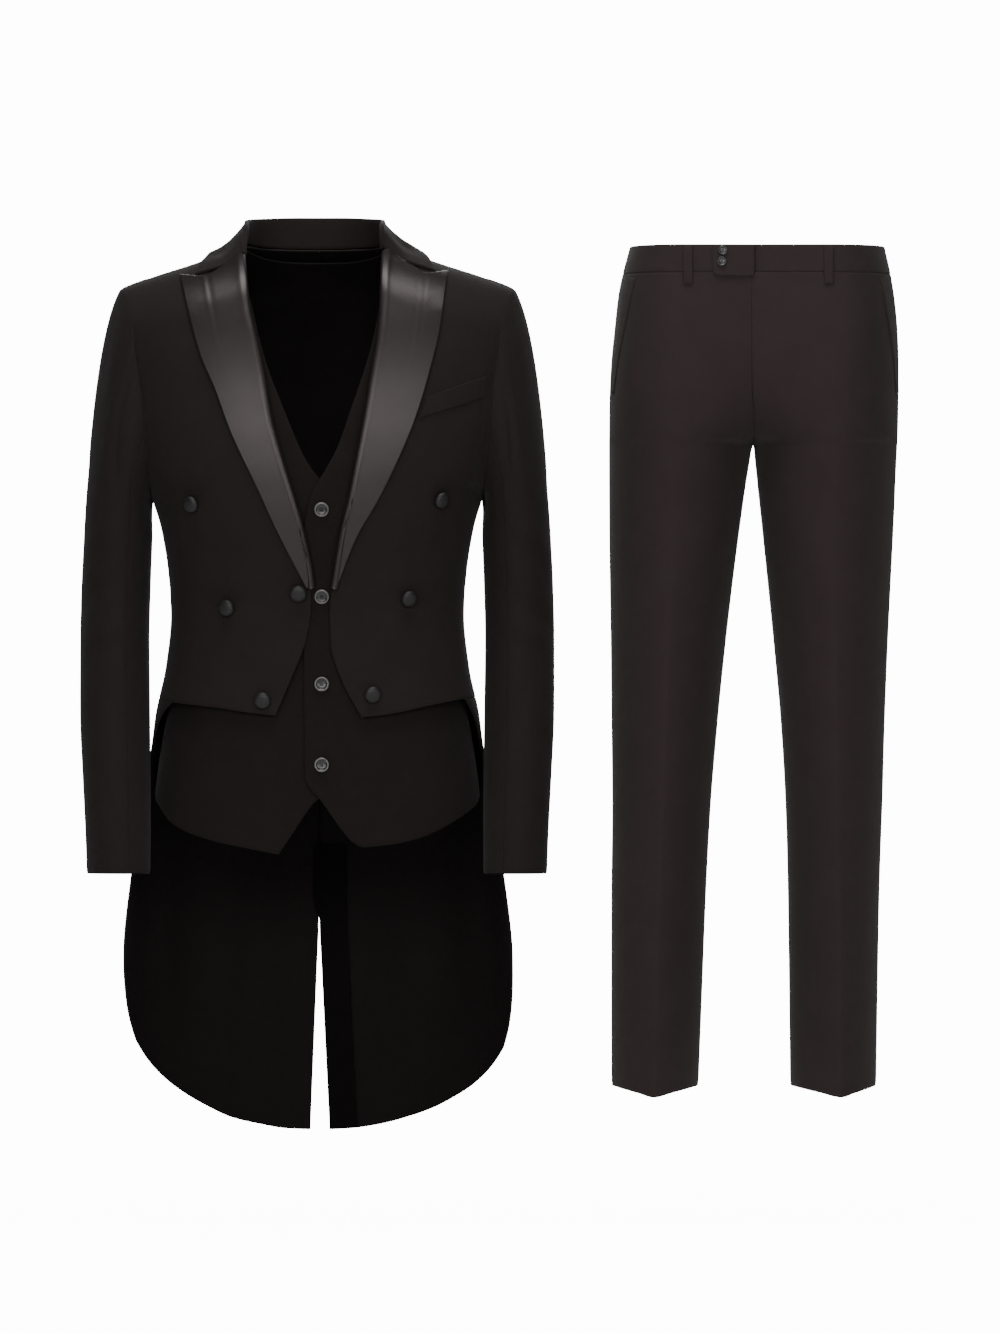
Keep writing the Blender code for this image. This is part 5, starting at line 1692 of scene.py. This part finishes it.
def trouser_places(side, behind):
    """w, height and lift of a leg's panel at its rows and columns."""
    z = trouser_rows()
    if behind:
        lap = np.full(len(z), SEAM)
    else:
        fly = FLY_LAP * np.clip((z - FLY_FOOT) / FLY_RUN, 0, 1)
        lap = np.where(z > -239, fly + SEAM if side == "R" else SEAM - fly, SEAM)
    start = inner_w(side, z, lap)
    inward = start[:, None] * np.linspace(1, 0, 5)[:-1] ** 0.9
    w = np.concatenate([inward, np.linspace(0, 1, 5) + 0 * z[:, None]], axis=1)
    tip = HEM_BACK if behind else HEM_TIP
    drop = (tip - HEM_SIDE) * (1 - np.sin(np.abs(w) * math.pi / 2))
    low = np.clip((z + 690) / (HEM_SIDE + 690), 0, 1)[:, None] ** 2
    heights = z[:, None] + drop * low
    lift = np.zeros(w.shape)
    if not behind and side == "L":
        from_lap = leg(side, w, heights, behind)[..., 0] - TROUSERS_X + FLY_LAP
        near = np.clip(1 - np.abs(from_lap) / FLY_NEAR, 0, 1)
        lift = FLY_LIFT * near * np.clip((heights - FLY_FOOT) / FLY_RUN, 0, 1)
    return np.stack([w, heights, lift], axis=-1)


# distance from the crotch line, z, and so on as before
LEG_CREASES = {
    ("R", False): (
        (14, -236, 96, -190, -10, 20, -1.3),
        (10, -268, 88, -304, 9, 20, -1.2),
        (12, -224, 56, -150, -6, 17, -0.8),
        (150, -60, 120, -170, 5, 16, -1.1),
        (60, -470, 150, -520, 7, 16, -1.2),
        (66, -560, 152, -540, -6, 15, -1.1),
        (70, -860, 150, -900, 6, 17, -1.1),
        (34, -330, 44, -560, 5, 18, -1.6),
    ),
    ("L", False): (
        (12, -234, 98, -182, 10, 20, -1.4),
        (9, -264, 86, -300, -9, 19, -1.3),
        (20, -222, 62, -144, 6, 17, -0.8),
        (154, -66, 122, -180, -5, 16, -1.2),
        (56, -480, 140, -532, -7, 16, -1.2),
        (60, -572, 142, -552, 6, 15, -1.1),
        (58, -850, 134, -892, -6, 17, -1.1),
        (28, -320, 38, -560, -5, 18, -1.6),
    ),
    ("R", True): (
        (16, -238, 110, -200, -9, 15, -3.0),
        (14, -262, 110, -300, 9, 16, -2.8),
        (30, -160, 120, -190, 8, 22, -1.4),
        (60, -540, 150, -560, 7, 16, -2.0),
        (62, -586, 150, -596, -6, 15, -1.5),
        (70, -880, 150, -910, 6, 16, -1.1),
    ),
    ("L", True): (
        (14, -236, 112, -192, 9, 15, -3.0),
        (12, -258, 112, -296, -9, 16, -2.9),
        (32, -154, 124, -184, -8, 22, -1.4),
        (54, -548, 142, -566, -7, 16, -2.0),
        (58, -590, 140, -604, 6, 15, -1.5),
        (60, -872, 134, -904, -6, 16, -1.1),
    ),
}
for side in "RL":
    for behind, part in ((False, "front"), (True, "back")):
        grid = fine(trouser_places(side, behind), 8, 7)
        points, outward = leg_points(side, behind, grid[..., 0], grid[..., 1], grid[..., 2])
        from_crotch = (points[..., 0] - TROUSERS_X) * sign(side)
        points = pressed(points, outward, from_crotch, LEG_CREASES[side, behind], TUBE_SEWN)
        above = np.clip((points[:, 0, 2] + 262) / 20, 0.1, 1)
        inseam = {("R", False): 1.0, ("L", False): 1.1 - above, ("R", True): above}
        if (side, behind) in inseam:
            points, outward = tucked(points, outward, 1, False, inseam[side, behind])
        if not behind:
            points, outward = tucked(points, outward, 1, True)
        points, outward = tucked(points, outward, 0, False)
        name, node = f"leg_{part}_{side}", f"trouser_{part}_{side}"
        cloth(name, node, "trouser_wool", points, outward, CLOTH_WALL, "lining")

# %% [markdown]
# The waistband goes all round the top. Loops for a belt are sewn on it, and the front closes with
# a rounded tab that has two small buttons. The pockets are slanted openings near the outseam, and
# each shows as one folded edge.

# %% Sew on the waistband, loops, tab and pocket edges
# name, leg, distance from the crotch line, 1 in front and -1 behind
LOOPS = (
    ("front_R", "R", 77, 1),
    ("front_L", "L", 85, 1),
    ("side_R", "R", 130, -1),
    ("side_L", "L", 138, -1),
    ("back", "L", 4.5, -1),
)
LOOP_WIDTH, LOOP_TOP, LOOP_BOTTOM = 10.0, -9.5, -54.0
LOOP_LIFT, LOOP_WALL = 2.5, 1.5
# the tab from its lower edge up: its rounded end and its start, as distance from the
# crotch line, and z
TAB = ((41, 0.4, -44.5), (46.5, 0.4, -42.5), (49, 0.4, -38), (49, 0.4, -23), (48, 0.4, -9.5))
TAB_LIFT, TAB_WALL = 2.9, 2.0
TAB_BUTTONS = ((37, -15.2), (38.2, -28))
TAB_BUTTON_SCALE = 0.64
POCKET_LIFT, POCKET_WALL = 1.5, 1.2
POCKET_TOP, POCKET_BOTTOM = -46.0, -178.0
BAND_SET_IN = ((0, 0.7), (1, 0.2), (-2, 0.2), (-1, 0.7))  # row, how far it is set in


def waist_ring(z, parts):
    """Outer points and normals once round the waist, at one height."""
    points, outward = [], []
    for side, behind, way in (("R", False, 1), ("R", True, -1), ("L", True, 1), ("L", False, -1)):
        edge = float(inner_w(side, z))
        w = np.linspace(edge, 1, parts)[::way][:-1]
        place, lean = leg_points(side, behind, w, np.full(len(w), z))
        points.append(place)
        outward.append(lean)
    points, outward = np.concatenate(points), np.concatenate(outward)
    return np.vstack([points, points[:1]]), np.vstack([outward, outward[:1]])


heights = [BAND_BOTTOM, BAND_BOTTOM + 0.7, BAND_BOTTOM + 2] + list(np.linspace(-36, -12, 10))
heights += [BAND_TOP - 2, BAND_TOP - 0.7, BAND_TOP]
rings = [waist_ring(z, 40) for z in heights]
band = np.array([ring[0] for ring in rings])
lean = np.array([ring[1] for ring in rings])
band[:, -1] += (band[:, -2] - band[:, -1]) * 0.04
for k, drop in BAND_SET_IN:
    band[k] -= lean[k] * drop
band, lean = tucked(band, lean, 1, True)
waist = cloth(
    "waistband_cloth", "waistband", "trouser_wool", band, lean, CLOTH_WALL, "lining", rounded=False
)


def on_leg(side, behind, x, z, lift):
    """Points and normals at distances x from the crotch line."""
    outer, inner = column(TROUSERS[side], 1, z), column(TROUSERS[side], 2, z)
    crease = column(CREASE, 4 if side == "R" else 5, z)
    over = x > crease
    share = np.where(over, (x - crease) / (outer - crease), (crease - x) / (crease - inner))
    w = np.arcsin(np.clip(share, 0, 1)) / (math.pi / 2) * np.where(over, 1, -1)
    return leg_points(side, behind, w, z, lift)


def strip(name, node, side, behind, edges, lift, thick, swell=None):
    """A strip on the trousers: for each row, its ends' distance from the crotch line, and z."""
    edges = np.array(edges, float)
    u = np.linspace(0, 1, 3)
    x = edges[:, :1] * (1 - u) + edges[:, 1:2] * u
    grid = fine(np.stack([x, edges[:, 2:] + 0 * x], axis=-1), 7, 8)
    rise = lift if swell is None else lift + swell(grid[..., 1])
    points, outward = on_leg(side, behind, grid[..., 0], grid[..., 1], rise)
    return cloth(name, node, "trouser_wool", points, outward, thick)


def arched(z):
    """A loop stands off the band between the two ends that are sewn down."""
    share = np.clip((z - LOOP_BOTTOM) / (LOOP_TOP - LOOP_BOTTOM), 0, 1)
    return 1.4 * np.sin(share * math.pi) ** 0.6


for name, side, x, way in LOOPS:
    edges = [(x - LOOP_WIDTH / 2, x + LOOP_WIDTH / 2, z) for z in spread(LOOP_BOTTOM, LOOP_TOP, 5)]
    strip(f"loop_{name}", f"belt_loop_{name}", side, way < 0, edges, LOOP_LIFT, LOOP_WALL, arched)
tab = strip("tab_cloth", "waistband_tab", "R", False, TAB, TAB_LIFT, TAB_WALL)
for side in "RL":
    rows = spread(POCKET_BOTTOM, POCKET_TOP, 7)
    seam = column(TROUSERS[side], 1, rows)
    slant = np.linspace(0, 1, 7)
    edges = np.stack([seam - 5 - 12 * slant, seam - 1.5 - 8 * slant, rows], axis=-1)
    strip(f"pocket_{side}", f"pocket_edge_{side}", side, False, edges, POCKET_LIFT, POCKET_WALL)
for i, (x, z) in enumerate(TAB_BUTTONS, 1):
    at, normal = seat(tab, TROUSERS_X - x, z, 0.4)
    names = (f"small_button_{i}", f"small_thread_{i}")
    sew_on(names, f"tab_button_{i}", TAB_BUTTON_SCALE, at, normal)

# %% [markdown]
# ## Stage, light and camera
#
# The floor is a round sheet of pale paper well below the tails. Round it there is only the pale
# world, so the suit can be seen from every side. To the camera both are nearly white, as in a
# catalogue, while the cloth gets its light from soft lamps in front, above and behind, which is what
# gives black wool its shape. The camera looks straight at the suit from far off, so it stays true.

# %% Pale floor
FLOOR_Z, FLOOR_RADIUS, FLOOR_GLOW = -1.14, 4.0, 13.0
bm = bmesh.new()
low_down = Matrix.Translation((0.2, 0, FLOOR_Z))
bmesh.ops.create_circle(bm, cap_ends=True, segments=96, radius=FLOOR_RADIUS, matrix=low_down)
mesh = bpy.data.meshes.new("floor_paper")
bm.to_mesh(mesh)
bm.free()
paper = bpy.data.materials.new("pale_paper")
paper.use_nodes = True
shader = paper.node_tree.nodes["Principled BSDF"]
shader.inputs["Base Color"].default_value = (0.86, 0.86, 0.86, 1)
shader.inputs["Roughness"].default_value = 0.9
shader.inputs["Emission Color"].default_value = (1, 1, 1, 1)
seen = paper.node_tree.nodes.new("ShaderNodeLightPath")
glow = math_node(paper.node_tree, "MULTIPLY", seen.outputs["Is Camera Ray"], FLOOR_GLOW)
link(paper.node_tree, glow, shader.inputs["Emission Strength"])
mesh.materials.append(paper)
placed("floor_paper", mesh)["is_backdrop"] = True
print("floor at", FLOOR_Z, "m")


# %% Lamps, world and camera
def lamp(name, at, target, size, power):
    data = bpy.data.lights.new(name, "AREA")
    data.shape, data.size, data.energy = "SQUARE", size, power
    made = placed(name, data)
    made.location = at
    made.rotation_mode = "QUATERNION"
    made.rotation_quaternion = (Vector(target) - Vector(at)).to_track_quat("-Z", "Y")


# where it stands, what it points at, its side in metres, its watts
lamp("key", (-1.3, -3.5, 0.42), (0.1, 0, -0.35), 1.2, 29)
lamp("fill", (1.9, -3.5, 0.42), (0.3, 0, -0.4), 1.2, 28)
lamp("front", (0.1, -4.6, 0.95), (0.2, 0, -0.5), 1.8, 60)
lamp("top", (0.15, -0.8, 3.1), (0.2, 0, -0.3), 2.4, 120)
lamp("back", (0.3, 4.2, 1.2), (0.25, 0, -0.4), 2.4, 110)
WORLD_LIGHT, WORLD_SEEN = 0.04, 14.0
world = bpy.data.worlds.new("studio")
world.use_nodes = True
tree = world.node_tree
seen = tree.nodes.new("ShaderNodeLightPath")
glow = math_node(tree, "MULTIPLY", seen.outputs["Is Camera Ray"], WORLD_SEEN - WORLD_LIGHT)
link(tree, math_node(tree, "ADD", glow, WORLD_LIGHT), tree.nodes["Background"].inputs["Strength"])
tree.nodes["Background"].inputs["Color"].default_value = (1, 1, 1, 1)
bpy.context.scene.world = world

VIEW_MIDDLE = Vector((0.2117, 0, -0.4946))
FAR, FRAME_HEIGHT, SENSOR = 16.0, 1.546, 36.0
camera = bpy.data.cameras.new("camera")
camera.sensor_width = SENSOR
camera.lens = SENSOR * FAR / FRAME_HEIGHT
camera.clip_end = 40
eye = placed("camera", camera)
eye.location = VIEW_MIDDLE + Vector((0, -FAR, 0))
eye.rotation_euler = (math.pi / 2, 0, 0)
bpy.context.scene.camera = eye
print("camera:", round(camera.lens, 1), "mm lens,", FAR, "m away")

# %% [markdown]
# ## Check the size and finish
# The box round the dressed suit is printed.
# The dressed suit has to keep the size of its frame, so both boxes are written down side by side.

# %% Print the suit's box
low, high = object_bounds()
print("suit box: ", [round(v, 4) for v in (*low, *high)])
